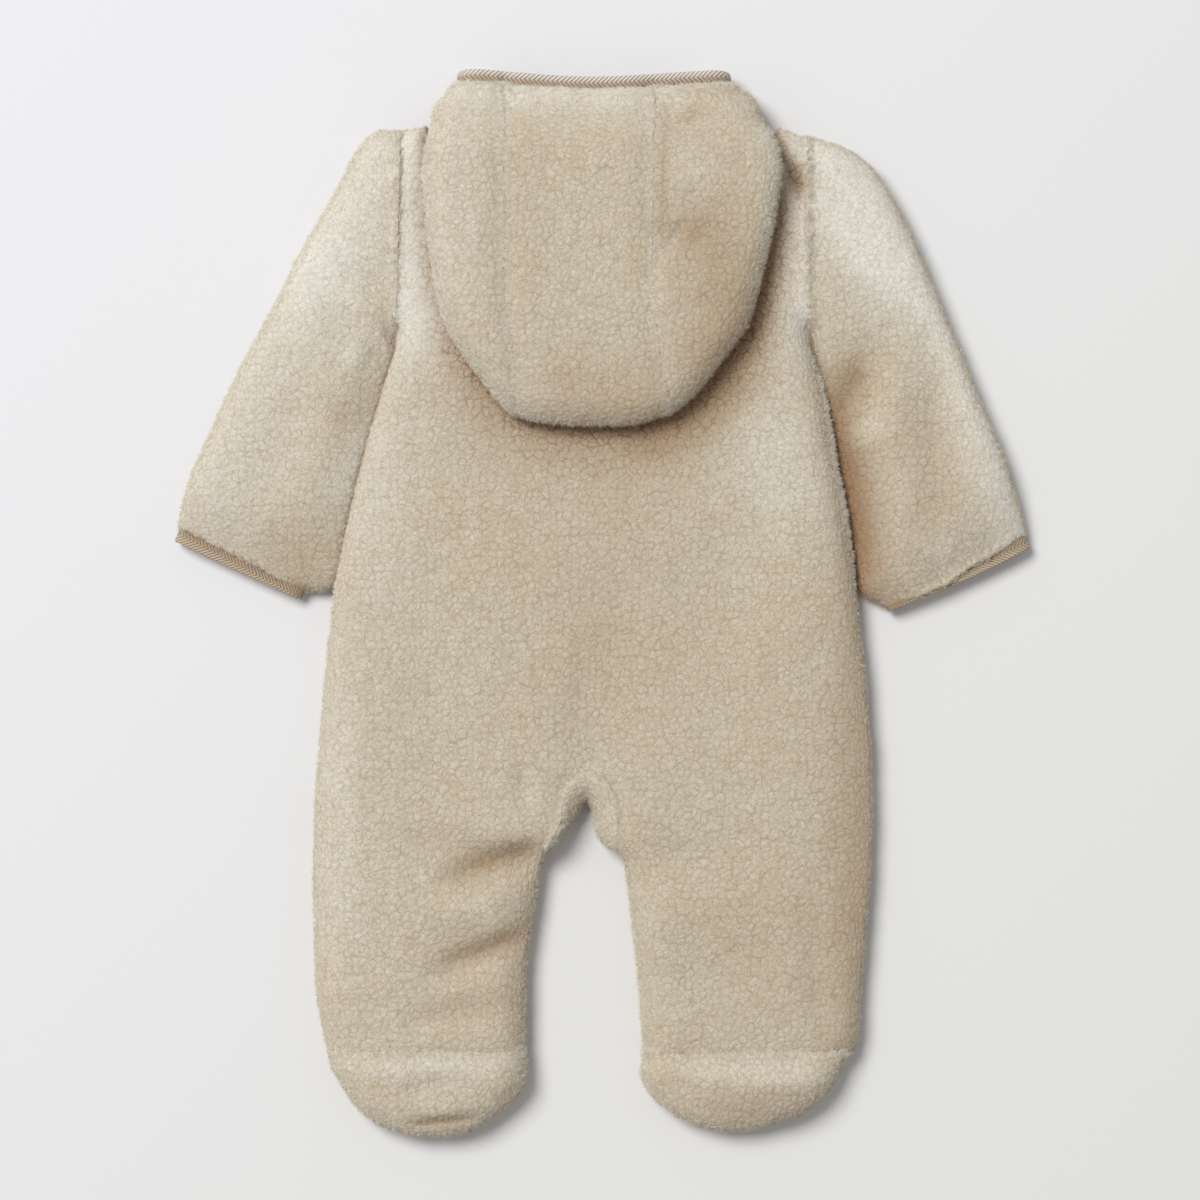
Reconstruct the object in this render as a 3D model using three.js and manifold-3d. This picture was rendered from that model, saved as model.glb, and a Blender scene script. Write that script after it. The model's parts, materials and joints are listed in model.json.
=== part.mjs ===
// A baby's hooded pramsuit in teddy pile, size 68, laid face down with its hood thrown back.
// Millimetres, +Z up. +Y runs towards the hood and +X to the right, seen from above. The cloth
// rests on z = 0, and the origin is at the middle of the whole garment's box, on that surface.
import * as THREE from 'three';
import { mergeVertices } from 'three/addons/utils/BufferGeometryUtils.js';
import Module from 'manifold-3d';

const wasm = await Module();
wasm.setup();

// Cloth: an 8 mm pile on a knitted ground with a jersey lining, and the gaps between pieces.
const PILE_WALL = 10;
const SEAM_GAP = 0.3;
const SIDE_GAP = 1;
const SEAM_DIP = 1.6;
const SEAM_DIP_WIDTH = 6;

// Heights of the laid garment: the front lies on the surface and the back lies on the front.
const FRONT_LINING = 10.4;
const SIDE_SEAM = 11.7;
const BACK_LINING = 13.9;
const BACK_LINING_LOWEST = 12.4;
const BODY_TOP = 24.5;
const BODY_ROLL = 18;
const FRONT_ROLL = 8;
const SOLE_RISE = 3;

// The hood lies on the back: its under layer, then its outer layer with the face edge on top.
const HOOD_BASE = 24.9;
const HOOD_WALL = 9;
const HOOD_ROLL = 15;
const NECK_EDGE = 271;
const NECK_ROLL = 8;
const LIP_START = 274.5;
const HOOD_CENTRE_END = 267;
const HOOD_HOLLOW = 2.2;

// Twill binding on the cuffs and the hood.
const TAPE_WIDTH = 7.6;
const TAPE_THICKNESS = 5.4;
const CUFF_DROP = 4;
const CUFF_DROP_WIDTH = 7;
const CUFF = { low: 1.6, lowLining: 9.9, highLining: 12.5, high: 18.2, roll: 9, tuck: 1.2, round: 0.6 };

// Front zip: the chain lies between the fronts and its tapes on their lining side.
const FRONT_X = -11;
const ZIP_GAP = 8.4;
const ZIP_TOP = 256;
const ZIP_BOTTOM = -98;
const CHAIN_WIDTH = 5;
const CHAIN_THICKNESS = 2.2;
const TAPE_REACH = 13;
const ZIP_TAPE_THICKNESS = 0.8;
const SLIDER_Y = 243;
const SLIDER = { half: 3.9, length: 9, plate: 1.2, post: 2.2, gap: 0.35 };
const BRIDGE = { half: 3, rise: 3.6, wall: 1.1, width: 1.8 };
const PULL = { length: 24, width: 5.2, bar: 0.55, corner: 1.5, drop: 1.7, hole: 4.9 };

// Side edges of the body from the shoulder to the toe, with the armhole above the armpit.
const ARMPIT = 156;
const SIDES = [
  { y: 281, left: -119.5, right: 118 },
  { y: ARMPIT, left: -122, right: 120 },
  { y: 127, left: -130.5, right: 126.5 },
  { y: 80, left: -143.5, right: 135 },
  { y: 37, left: -153.5, right: 142.5 },
  { y: -5, left: -159, right: 148.5 },
  { y: -57, left: -164.3, right: 153.5 },
  { y: -126, left: -169.2, right: 156.6 },
  { y: -195, left: -169.5, right: 152.6 },
  { y: -240, left: -166.7, right: 148.8 },
  { y: -256, left: -163.4, right: 147.8 },
  { y: -264, left: -161.2, right: 143.2 },
  { y: -273, left: -159, right: 138 },
  { y: -282, left: -153.5, right: 133 },
  { y: -292, left: -147, right: 125 },
  { y: -299, left: -140.5, right: 115 },
  { y: -305, left: -132, right: 98.5 },
  { y: -309, left: -121, right: 83 },
  { y: -312.5, left: -107, right: 76 },
];
const TOE = { left: -312, right: -309 };

// Inner edges of the legs from the crotch to the toe: the edge of the gap between them.
const CROTCH = -116;
const INNER_LEGS = [
  { y: -116, left: -12, right: -10 },
  { y: -120, left: -14.5, right: -6.5 },
  { y: -125, left: -17, right: -5.8 },
  { y: -133, left: -22, right: -5.2 },
  { y: -140, left: -28, right: -2 },
  { y: -147, left: -35, right: 9 },
  { y: -156, left: -37.2, right: 12 },
  { y: -170, left: -39.8, right: 14.4 },
  { y: -195, left: -43.8, right: 16.8 },
  { y: -222, left: -46.2, right: 20.2 },
  { y: -248, left: -46.6, right: 21.6 },
  { y: -262, left: -46, right: 22.8 },
  { y: -272, left: -45.5, right: 21.4 },
  { y: -282, left: -47, right: 23 },
  { y: -292, left: -55, right: 31.5 },
  { y: -299, left: -62.5, right: 41 },
  { y: -305, left: -71, right: 54 },
  { y: -309, left: -79, right: 69 },
  { y: -312.5, left: -94, right: 76 },
];

// The back's edge round the gusset, from the top of the horseshoe down both legs. Each row also
// says how far down the gap's edge the gusset's seam point is joined to.
const INSEAM_END = -147;
const INSEAM = [
  { y: -99, left: -11, right: -11, leftGap: -116, rightGap: -116 },
  { y: -101, left: -15.5, right: -3, leftGap: -116.8, rightGap: -116.7 },
  { y: -105, left: -20, right: 2.2, leftGap: -119.3, rightGap: -118.4 },
  { y: -112, left: -24.5, right: 6.3, leftGap: -123.2, rightGap: -121.8 },
  { y: -119, left: -25.7, right: 9, leftGap: -126.8, rightGap: -125.6 },
  { y: -128, left: -26.3, right: 8.6, leftGap: -131, rightGap: -130.4 },
  { y: -137, left: -31, right: 8.8, leftGap: -138.2, rightGap: -137.2 },
  { y: -143.6, left: -33.6, right: 9, leftGap: -143.8, rightGap: -144 },
  { y: -147, left: -35, right: 9, leftGap: -147, rightGap: -147 },
];
const INSEAM_TOP = INSEAM[0].y;

// Shoulder line and neck, from the left armhole to the right one.
const SHOULDERS = [
  { x: -119.5, y: 274.6 },
  { x: -110, y: 276.8 },
  { x: -103.6, y: 278.2 },
  { x: -101.4, y: NECK_EDGE },
  { x: -60, y: NECK_EDGE },
  { x: 60, y: NECK_EDGE },
  { x: 99.5, y: NECK_EDGE },
  { x: 101.8, y: 277 },
  { x: 110, y: 273.8 },
  { x: 118, y: 271.4 },
];
const ANKLE = -263;

// Places across the shoulders, close together where the neck's edge starts.
const SHOULDER_COLUMNS = {
  left: [-119.5, -118, -114, -109, -103.6, -101.4, -92, -76, -58, -36, FRONT_X],
  right: [FRONT_X, 14, 34, 54, 72, 88, 99.5, 101.8, 108, 116.5, 118],
};

// Sleeve sections from the armhole to the cuff, each from the underarm to the outer fold.
const SLEEVES = {
  left: [
    { innerX: -122.3, innerY: 156, outerX: -119.8, outerY: 274.6 },
    { innerX: -124.6, innerY: 147, outerX: -132, outerY: 275 },
    { innerX: -127.5, innerY: 137, outerX: -144.5, outerY: 262.5 },
    { innerX: -131.6, innerY: 121, outerX: -155, outerY: 243 },
    { innerX: -137, innerY: 101, outerX: -169, outerY: 218 },
    { innerX: -144, innerY: 79, outerX: -182.5, outerY: 193 },
    { innerX: -149, innerY: 57, outerX: -198, outerY: 163 },
    { innerX: -153.5, innerY: 37, outerX: -216.5, outerY: 128 },
    { innerX: -156.4, innerY: 18.5, outerX: -232.3, outerY: 94 },
    { innerX: -163, innerY: 8.5, outerX: -243.8, outerY: 67 },
    { innerX: -173.5, innerY: 7.2, outerX: -249.5, outerY: 43.4 },
  ],
  right: [
    { innerX: 120.3, innerY: 156, outerX: 118.3, outerY: 271.4 },
    { innerX: 124, innerY: 144, outerX: 132, outerY: 268.4 },
    { innerX: 127, innerY: 128, outerX: 147.4, outerY: 261 },
    { innerX: 131, innerY: 105, outerX: 161, outerY: 247.5 },
    { innerX: 135, innerY: 83, outerX: 172.5, outerY: 227.5 },
    { innerX: 139, innerY: 61, outerX: 185.5, outerY: 200 },
    { innerX: 143, innerY: 41, outerX: 199.5, outerY: 166 },
    { innerX: 146, innerY: 24, outerX: 214.5, outerY: 130 },
    { innerX: 148.6, innerY: 11.5, outerX: 229, outerY: 95 },
    { innerX: 153, innerY: 3, outerX: 239, outerY: 67 },
    { innerX: 163.5, innerY: -2, outerX: 247.5, outerY: 39.6 },
  ],
};
const CUFF_SAG = { left: 0.6, right: 3.2 };
const SLEEVE_ROWS = 11;
const SLEEVE_COLUMNS = 5;

// Hood seams, and the outline of each side panel met by a line from the seam at the same row.
const HOOD_SEAMS = [
  { y: 302, left: -58.5, right: 29.5 },
  { y: 270, left: -58.5, right: 28 },
  { y: 205, left: -58.5, right: 27 },
  { y: 178, left: -57.8, right: 26 },
  { y: 160, left: -56.2, right: 29 },
  { y: 146, left: -53.8, right: 31 },
  { y: 136, left: -52.6, right: 32.5 },
  { y: 129, left: -52.6, right: 34 },
  { y: 123, left: -52.6, right: 36.4 },
  { y: 109, left: -52.6, right: 38.6 },
];
const HOOD_ROWS = [
  { y: 303.5, left: [-86.5, 303], right: [75.5, 302] },
  { y: 292, left: [-94, 290.5], right: [85.5, 290] },
  { y: 282, left: [-97.6, 281.5], right: [91.5, 281] },
  { y: LIP_START, left: [-99.6, 274.5], right: [95.3, 274.5] },
  { y: 272.3, left: [-100.2, 272], right: [96.6, 272] },
  { y: 270, left: [-101.2, 269], right: [98.4, 269] },
  { y: 267, left: [-102.2, 266], right: [99.8, 265.5] },
  { y: 262, left: [-103.2, 260], right: [101.2, 259] },
  { y: 248, left: [-104, 247], right: [102, 246] },
  { y: 228, left: [-102.8, 227], right: [99.3, 227] },
  { y: 204, left: [-100.2, 203], right: [94.2, 203] },
  { y: 180, left: [-96, 178], right: [88.4, 178] },
  { y: 160, left: [-90.2, 158], right: [81.4, 158.5] },
  { y: 146, left: [-82.8, 146], right: [72.5, 146] },
  { y: 136, left: [-75.4, 135.7], right: [64, 134.5] },
  { y: 129, left: [-67.6, 125.5], right: [55, 123.5] },
  { y: 125, left: [-60.2, 116.5], right: [46.8, 116] },
  { y: 123, left: [-53, 109.6], right: [38.9, 110.4] },
];
const FACE_SAG = 5.5;
const FACE_HALF = 84;
const FACE_MIDDLE = -6;
const CROWN = [
  { x: -53, y: 109.6 },
  { x: -38, y: 104.7 },
  { x: -10, y: 102.4 },
  { x: 14, y: 103 },
  { x: 30, y: 106.3 },
  { x: 39, y: 110.4 },
];
const HOOD_TOP = [
  { y: 303, z: 27 },
  { y: 292, z: 31.5 },
  { y: 283, z: 37 },
  { y: 276, z: 42 },
  { y: 270, z: 44.8 },
  { y: 262, z: 46.6 },
  { y: 248, z: 47.4 },
  { y: 180, z: 48.4 },
  { y: 140, z: 47.6 },
  { y: 102, z: 47 },
];
const HOOD_LINING = [
  { y: 303, z: 9 },
  { y: 292, z: 12 },
  { y: 283, z: 20 },
  { y: 276, z: 27 },
  { y: 270, z: 31.5 },
  { y: 262, z: 34.7 },
  { y: 102, z: 34.7 },
];

// Large folds: a soft trough where depth is positive, a ridge where it is negative. The angle is
// the fold's direction from +X in degrees, and length and width are to where it fades out.
const BODY_FOLDS = [
  { x: -68, y: -150, angle: 168, length: 42, width: 13, depth: 4.6 },
  { x: -62, y: -136, angle: 160, length: 36, width: 12, depth: -2.2 },
  { x: -76, y: -202, angle: 155, length: 34, width: 12, depth: 3.2 },
  { x: -88, y: -184, angle: 160, length: 40, width: 16, depth: -1.8 },
  { x: -8, y: -68, angle: 84, length: 46, width: 14, depth: 2.4 },
  { x: 42, y: -152, angle: 20, length: 38, width: 14, depth: 2.6 },
  { x: 74, y: -214, angle: 12, length: 40, width: 15, depth: 1.8 },
  { x: -40, y: 70, angle: 120, length: 70, width: 20, depth: 1.4 },
  { x: 70, y: 20, angle: 62, length: 80, width: 22, depth: 1.5 },
  { x: -100, y: -60, angle: 96, length: 80, width: 20, depth: 1.3 },
];
const SLEEVE_FOLDS = [
  { x: -146, y: 168, angle: 118, length: 44, width: 12, depth: 3.4 },
  { x: -168, y: 150, angle: 120, length: 50, width: 14, depth: -1.4 },
  { x: -196, y: 84, angle: 60, length: 40, width: 15, depth: 1.8 },
  { x: 146, y: 120, angle: 58, length: 32, width: 10, depth: 4.4 },
  { x: 156, y: 100, angle: 60, length: 30, width: 12, depth: -1.6 },
  { x: 176, y: 150, angle: 112, length: 44, width: 15, depth: 1.6 },
];
const HOOD_FOLDS = [
  { x: 45, y: 283, angle: 95, length: 22, width: 12, depth: 2.2 },
  { x: 42, y: 213, angle: 70, length: 26, width: 13, depth: 2.4 },
  { x: 53, y: 247, angle: 90, length: 28, width: 14, depth: -1.2 },
  { x: -76, y: 180, angle: 108, length: 46, width: 13, depth: -1 },
];

// Colours of the cloth, tape and metal.
const CREAM = { color: 0xcdc4b0, roughness: 0.95, metalness: 0 };
const TWILL = { color: 0xc3ab96, roughness: 0.85, metalness: 0 };
const ZIP_CLOTH = { color: 0xcbbba4, roughness: 0.85, metalness: 0 };
const ZIP_METAL = { color: 0xb9b4aa, roughness: 0.35, metalness: 0.9 };

// Distances from a rolled edge at which the cloth has its own points.
const EDGE_STEPS = [0, 1, 4, 9.5];

// A column of a table at one value of its key, which falls from row to row. The curve is smooth
// through the rows, or straight between them.
function read(table, key, column, at, straight = false) {
  let i = 1;
  while (i < table.length - 1 && table[i][key] > at) i += 1;
  const [a, b] = [table[i - 1], table[i]];
  const t = THREE.MathUtils.clamp((at - a[key]) / (b[key] - a[key]), 0, 1);
  if (straight) return a[column] + t * (b[column] - a[column]);
  const [before, after] = [table[i - 2] ?? a, table[i + 1] ?? b];
  const span = b[key] - a[key];
  const slopeA = span * (b[column] - before[column]) / (b[key] - before[key]);
  const slopeB = span * (after[column] - a[column]) / (after[key] - a[key]);
  const [t2, t3] = [t * t, t * t * t];
  return (2 * t3 - 3 * t2 + 1) * a[column] + (t3 - 2 * t2 + t) * slopeA
    + (3 * t2 - 2 * t3) * b[column] + (t3 - t2) * slopeB;
}

// How far the folds lower a point of the cloth.
function folded(folds, x, y) {
  return folds.reduce((sum, fold) => {
    const turn = THREE.MathUtils.degToRad(fold.angle);
    const along = (x - fold.x) * Math.cos(turn) + (y - fold.y) * Math.sin(turn);
    const across = (y - fold.y) * Math.cos(turn) - (x - fold.x) * Math.sin(turn);
    return sum + fold.depth * Math.exp(-((along / fold.length) ** 2) - (across / fold.width) ** 2);
  }, 0);
}

// The height of a quarter of an ellipse, from 0 at the edge to 1 where the roll ends.
function rolled(distance, width) {
  const t = Math.min(distance / width, 1);
  return Math.sqrt(1 - (1 - t) ** 2);
}

// A free edge of the cloth as runs of points, asked for the nearest place on it.
class Edge {
  constructor(...runs) {
    this.pieces = runs.flatMap((run) => run.slice(1).map((end, i) => [run[i], end]));
  }

  // The distance to the edge, and the direction from it towards the point.
  nearest(x, y) {
    let best = { distance: Infinity, x: 0, y: 0 };
    for (const [[ax, ay], [bx, by]] of this.pieces) {
      const [dx, dy] = [bx - ax, by - ay];
      const t = THREE.MathUtils.clamp(((x - ax) * dx + (y - ay) * dy) / (dx * dx + dy * dy), 0, 1);
      const [ox, oy] = [x - ax - t * dx, y - ay - t * dy];
      const distance = Math.hypot(ox, oy);
      if (distance < best.distance) best = { distance, x: ox, y: oy };
    }
    const length = Math.max(best.distance, 1e-6);
    return { distance: best.distance, x: best.x / length, y: best.y / length };
  }
}

// A cloth wall: each point has an outer and an inner place, and free edges close the wall.
class Cloth {
  constructor() {
    this.outer = [];
    this.inner = [];
    this.faces = [];
    this.known = new Map();
  }

  // The number of a point, the same one for the same place.
  add([outer, inner]) {
    const key = [...outer.toArray(), ...inner.toArray()].map((v) => v.toFixed(2)).join();
    if (!this.known.has(key)) {
      this.known.set(key, this.outer.length);
      this.outer.push(outer);
      this.inner.push(inner);
    }
    return this.known.get(key);
  }

  // Faces between rows of points, [outer, inner] each; a ring also joins its last to its first.
  rows(rows, ring = false) {
    const numbers = rows.map((row) => row.map((point) => this.add(point)));
    for (let r = 1; r < numbers.length; r += 1) {
      const [a, b] = [numbers[r - 1], numbers[r]];
      for (let c = ring ? 0 : 1; c < a.length; c += 1) {
        const p = (c + a.length - 1) % a.length;
        this.face(a[p], a[c], b[c]);
        this.face(a[p], b[c], b[p]);
      }
    }
    return this;
  }

  face(a, b, c) {
    if (a !== b && b !== c && c !== a) this.faces.push([a, b, c]);
  }

  // The closed solid as a mesh.
  mesh(name, finish) {
    const count = this.outer.length;
    const edges = new Map();
    for (const [a, b, c] of this.faces) {
      for (const [from, to] of [[a, b], [b, c], [c, a]]) edges.set(`${from} ${to}`, [from, to]);
    }
    const free = [...edges.values()].filter(([from, to]) => !edges.has(`${to} ${from}`));
    const faces = [
      ...this.faces,
      ...this.faces.map(([a, b, c]) => [c + count, b + count, a + count]),
      ...free.flatMap(([a, b]) => [[b, a, a + count], [b, a + count, b + count]]),
    ];
    return solid(name, finish, [...this.outer, ...this.inner], faces);
  }
}

// A mesh of numbered points and faces, turned so that its faces point out.
function solid(name, finish, points, faces) {
  const volume = faces.reduce((sum, [a, b, c]) => (
    sum + points[a].dot(points[b].clone().cross(points[c]))), 0);
  const order = volume < 0 ? faces.map(([a, b, c]) => [a, c, b]) : faces;
  const geometry = new THREE.BufferGeometry().setFromPoints(points);
  geometry.setIndex(order.flat());
  geometry.computeVertexNormals();
  return named(name, geometry, finish);
}

function named(name, geometry, finish) {
  const mesh = new THREE.Mesh(geometry, new THREE.MeshStandardMaterial(finish));
  mesh.name = name;
  return mesh;
}

// Places between two edges: close together at both, and count even steps between.
function spread(from, to, count) {
  const width = Math.abs(to - from);
  const reach = Math.min(1, width / (2.6 * EDGE_STEPS.at(-1)));
  const steps = EDGE_STEPS.map((step) => step * reach / width);
  const start = steps.at(-1);
  const middle = Array.from({ length: count - 1 }, (_, i) => start + (1 - 2 * start) * (i + 1) / count);
  const parts = [...steps, ...middle, ...steps.map((step) => 1 - step).reverse()];
  return parts.map((part) => from + (to - from) * part);
}

const side = (y, hand) => read(SIDES, 'y', hand, y, y >= ARMPIT);
const innerLeg = (y, hand) => read(INNER_LEGS, 'y', hand, y, y > INSEAM_END);
const shoulder = (x) => {
  const i = Math.max(1, SHOULDERS.findIndex((row) => row.x >= x));
  const [a, b] = [SHOULDERS[i - 1], SHOULDERS[i]];
  return a.y + (b.y - a.y) * THREE.MathUtils.clamp((x - a.x) / (b.x - a.x), 0, 1);
};

// Evenly spaced values from one to another.
const range = (from, to, steps) => (
  Array.from({ length: steps + 1 }, (_, i) => from + (to - from) * i / steps));

// The free outline of the laid body: sides below the armpits, both feet and the gap between the
// legs, then the shoulders. The crotch is free for the fronts and for the gusset alone.
const CROTCH_LEVELS = INNER_LEGS.map((row) => row.y).reverse();
const legRun = (hand, from) => [
  ...range(ARMPIT, ANKLE, 160).map((y) => [side(y, hand), y]),
  ...range(ANKLE, TOE[hand], 120).slice(1).map((y) => [side(y, hand), y]),
  ...range(TOE[hand], ANKLE, 120).map((y) => [innerLeg(y, hand), y]),
  ...[...range(ANKLE, INSEAM_END, 80), ...CROTCH_LEVELS]
    .filter((y, i) => (i <= 80 ? y > ANKLE : y > INSEAM_END) && y <= from)
    .map((y) => [innerLeg(y, hand), y]),
];
const SHOULDER_RUN = SHOULDERS.map(({ x, y }) => [x, y]);
const bodyEdge = (from) => new Edge(SHOULDER_RUN, legRun('left', from), legRun('right', from));
const BACK_EDGE = bodyEdge(INSEAM_END - 6);
const FRONT_EDGE = bodyEdge(CROTCH);

// Seams that sink a little into the pile: armholes, ankles and the inseam round the gusset.
const SEAMS = new Edge(
  ...['left', 'right'].flatMap((hand) => {
    const sign = hand === 'left' ? 1 : -1;
    return [
      [SIDES[0].y, ARMPIT].map((y) => [side(y, hand) - sign * SEAM_GAP / 2, y]),
      [[side(ANKLE, hand), ANKLE], [innerLeg(ANKLE, hand), ANKLE]],
      INSEAM.map((row) => [row[hand] + sign * SEAM_GAP, row.y - SEAM_GAP]),
    ];
  }),
);

// How far the wall is moved in from a free edge, kept off the far side of a seam that it meets.
const SEAM_HOLD = 12;
function inwardShift(x, y, near, wall, width, seams) {
  const amount = wall * (1 - Math.min(1, near.distance / width));
  const seam = seams.nearest(x, y);
  const across = near.x * seam.x + near.y * seam.y;
  const held = across * Math.max(0, 1 - seam.distance / SEAM_HOLD);
  return [(near.x - held * seam.x) * amount, (near.y - held * seam.y) * amount];
}

const seamDip = (x, y) => (
  SEAM_DIP * Math.max(0, 1 - SEAMS.nearest(x, y).distance / SEAM_DIP_WIDTH));

// A point of the upper cloth over the body, legs and feet, rolled down to the side seam.
function upper(x, y, edge, rise = 0) {
  const near = edge.nearest(x, y);
  const roll = rolled(near.distance, BODY_ROLL);
  const top = BODY_TOP + rise - folded(BODY_FOLDS, x, y) - seamDip(x, y);
  const lining = THREE.MathUtils.clamp(top - PILE_WALL, BACK_LINING_LOWEST, BACK_LINING);
  const [moveX, moveY] = inwardShift(x, y, near, PILE_WALL, BODY_ROLL, SEAMS);
  return [
    new THREE.Vector3(x, y, SIDE_SEAM + (top - SIDE_SEAM) * roll),
    new THREE.Vector3(x + moveX, y + moveY, SIDE_SEAM + (lining - SIDE_SEAM) * roll),
  ];
}

// A point of the lower cloth, flat on the surface and rolled up to the side seam.
function lower(x, y) {
  const near = FRONT_EDGE.nearest(x, y);
  const roll = rolled(near.distance, FRONT_ROLL);
  const seam = SIDE_SEAM - SEAM_GAP;
  const [moveX, moveY] = inwardShift(x, y, near, FRONT_ROLL - 1, FRONT_ROLL, SEAMS);
  return [
    new THREE.Vector3(x, y, seam * (1 - roll)),
    new THREE.Vector3(x + moveX, y + moveY, seam + (FRONT_LINING - seam) * roll),
  ];
}

// A point just inside an edge has no direction of its own, so edges are met this far inside.
const INSIDE = 0.06;

// Body rows: the upper ones follow the shoulders, and the others are level. Places across the
// upper ones go over to those of SHOULDER_COLUMNS between the two levels of SHOULDER_BLEND.
const SHOULDER_TOP = SHOULDERS[0].y;
const SHOULDER_STEPS = [INSIDE, 1, 3.5, 8, 15, 24, 38];
const FRONT_SHOULDER_STEPS = [INSIDE, 1.2, 4, 9, 20, 38];
const SHOULDER_BLEND = [205, 250];
const LEG_LEVELS = [-153, -162, -174, -190, -206, -222, -238, -254, ANKLE + 4, ANKLE + SEAM_GAP];
const SOLE_LEVELS = [ANKLE - SEAM_GAP, ANKLE - 4, ANKLE - 9, -279, -286, -293, -299];
const TOE_STEPS = [9, 5, 2.5, 1, INSIDE];
const bodyY = (y, x) => {
  const fade = THREE.MathUtils.smoothstep(y, SHOULDER_TOP - 40, SHOULDER_TOP - 15);
  return y + (shoulder(x) - SHOULDER_TOP) * fade;
};
const bodyRow = (y, xs, point) => xs.map((x) => point(x, bodyY(y, x)));

// The back, from the shoulders to the ankle seams, split by the horseshoe above the legs.
const HALF_COLUMNS = 4;
function back() {
  const cloth = new Cloth();
  const point = (x, y) => upper(x, y, BACK_EDGE);
  const sideX = (y, hand) => side(y, hand) + (hand === 'left' ? INSIDE : -INSIDE);
  const columns = (y, hand) => {
    const [from, to] = [sideX(y, hand), FRONT_X];
    const split = spread(from, to, HALF_COLUMNS);
    const edge = EDGE_STEPS.length;
    const start = split[edge - 1];
    const even = split.map((x, i) => (
      i < edge ? x : start + (to - start) * (i - edge + 1) / (split.length - edge)));
    const set = SHOULDER_COLUMNS[hand].slice();
    if (hand === 'right') set.reverse();
    const low = THREE.MathUtils.smoothstep(-y, -INSEAM_TOP - 79, -INSEAM_TOP);
    const high = THREE.MathUtils.smoothstep(y, ...SHOULDER_BLEND);
    const xs = split.map((x, i) => even[i] + (x - even[i]) * low + (set[i] - even[i]) * high);
    return hand === 'left' ? xs : xs.reverse();
  };
  const levels = [
    ...SHOULDER_STEPS.map((step) => SHOULDER_TOP - step),
    ...range(SHOULDER_TOP - 54, ARMPIT, 4),
    ...range(ARMPIT, INSEAM_TOP, 15).slice(1),
  ];
  cloth.rows(levels.map((y) => (
    bodyRow(y, [...columns(y, 'left'), ...columns(y, 'right').slice(1)], point))));
  const legLevels = [...INSEAM.map((row) => row.y), ...LEG_LEVELS];
  const edge = (y, hand) => (
    y >= INSEAM_END ? read(INSEAM, 'y', hand, y, true)
      : innerLeg(y, hand) + (hand === 'left' ? -INSIDE : INSIDE));
  for (const hand of ['left', 'right']) {
    cloth.rows(legLevels.map((y) => {
      const xs = spread(sideX(y, hand), edge(y, hand), HALF_COLUMNS);
      return bodyRow(y, hand === 'left' ? xs : xs.reverse(), point);
    }));
  }
  return cloth.mesh('back', CREAM);
}

// One front with the front of its leg and foot. The centre edge leaves room for the zip.
function front(hand) {
  const sign = hand === 'left' ? -1 : 1;
  const shoulders = SHOULDER_COLUMNS[hand].slice();
  if (hand === 'right') shoulders.reverse();
  shoulders.splice(7, 1);
  const centre = (y) => {
    const open = THREE.MathUtils.smoothstep(y, ZIP_BOTTOM - 10, ZIP_BOTTOM);
    return FRONT_X + sign * (SEAM_GAP / 2 + (ZIP_GAP - SEAM_GAP) / 2 * open);
  };
  const levels = [
    ...FRONT_SHOULDER_STEPS.map((step) => SHOULDER_TOP - step),
    ...range(SHOULDER_TOP - 58, ARMPIT, 3),
    ...range(ARMPIT, ZIP_BOTTOM, 10).slice(1),
    ZIP_BOTTOM - 10,
    ...INNER_LEGS.map((row) => row.y).filter((y) => y > TOE[hand]),
    TOE[hand] + INSIDE,
  ];
  const edge = (y) => (y > CROTCH ? centre(y) : innerLeg(y, hand) + sign * INSIDE);
  const outer = (y) => side(y, hand) - sign * INSIDE;
  const columns = (y) => {
    const high = THREE.MathUtils.smoothstep(y, ...SHOULDER_BLEND);
    const xs = spread(outer(y), edge(y), 3);
    shoulders[shoulders.length - 1] = edge(y);
    return xs.map((x, i) => x + (shoulders[i] - x) * high);
  };
  const cloth = new Cloth().rows(levels.map((y) => bodyRow(y, columns(y), lower)));
  return cloth.mesh(`front_${hand}`, CREAM);
}

// One sole, from the ankle seam round the heel to the toe.
function sole(hand) {
  const sign = hand === 'left' ? -1 : 1;
  const tip = TOE_STEPS.map((step) => TOE[hand] + step).filter((y) => y < SOLE_LEVELS.at(-1) - 1);
  const levels = [...SOLE_LEVELS, ...tip];
  const point = (x, y) => {
    const rise = SOLE_RISE * THREE.MathUtils.smoothstep(-y, -ANKLE, -ANKLE + 14);
    return upper(x, y, BACK_EDGE, rise);
  };
  const cloth = new Cloth().rows(levels.map((y) => (
    spread(side(y, hand) - sign * INSIDE, innerLeg(y, hand) + sign * INSIDE, 4)
      .map((x) => point(x, y)))));
  return cloth.mesh(`sole_${hand}`, CREAM);
}

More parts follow.
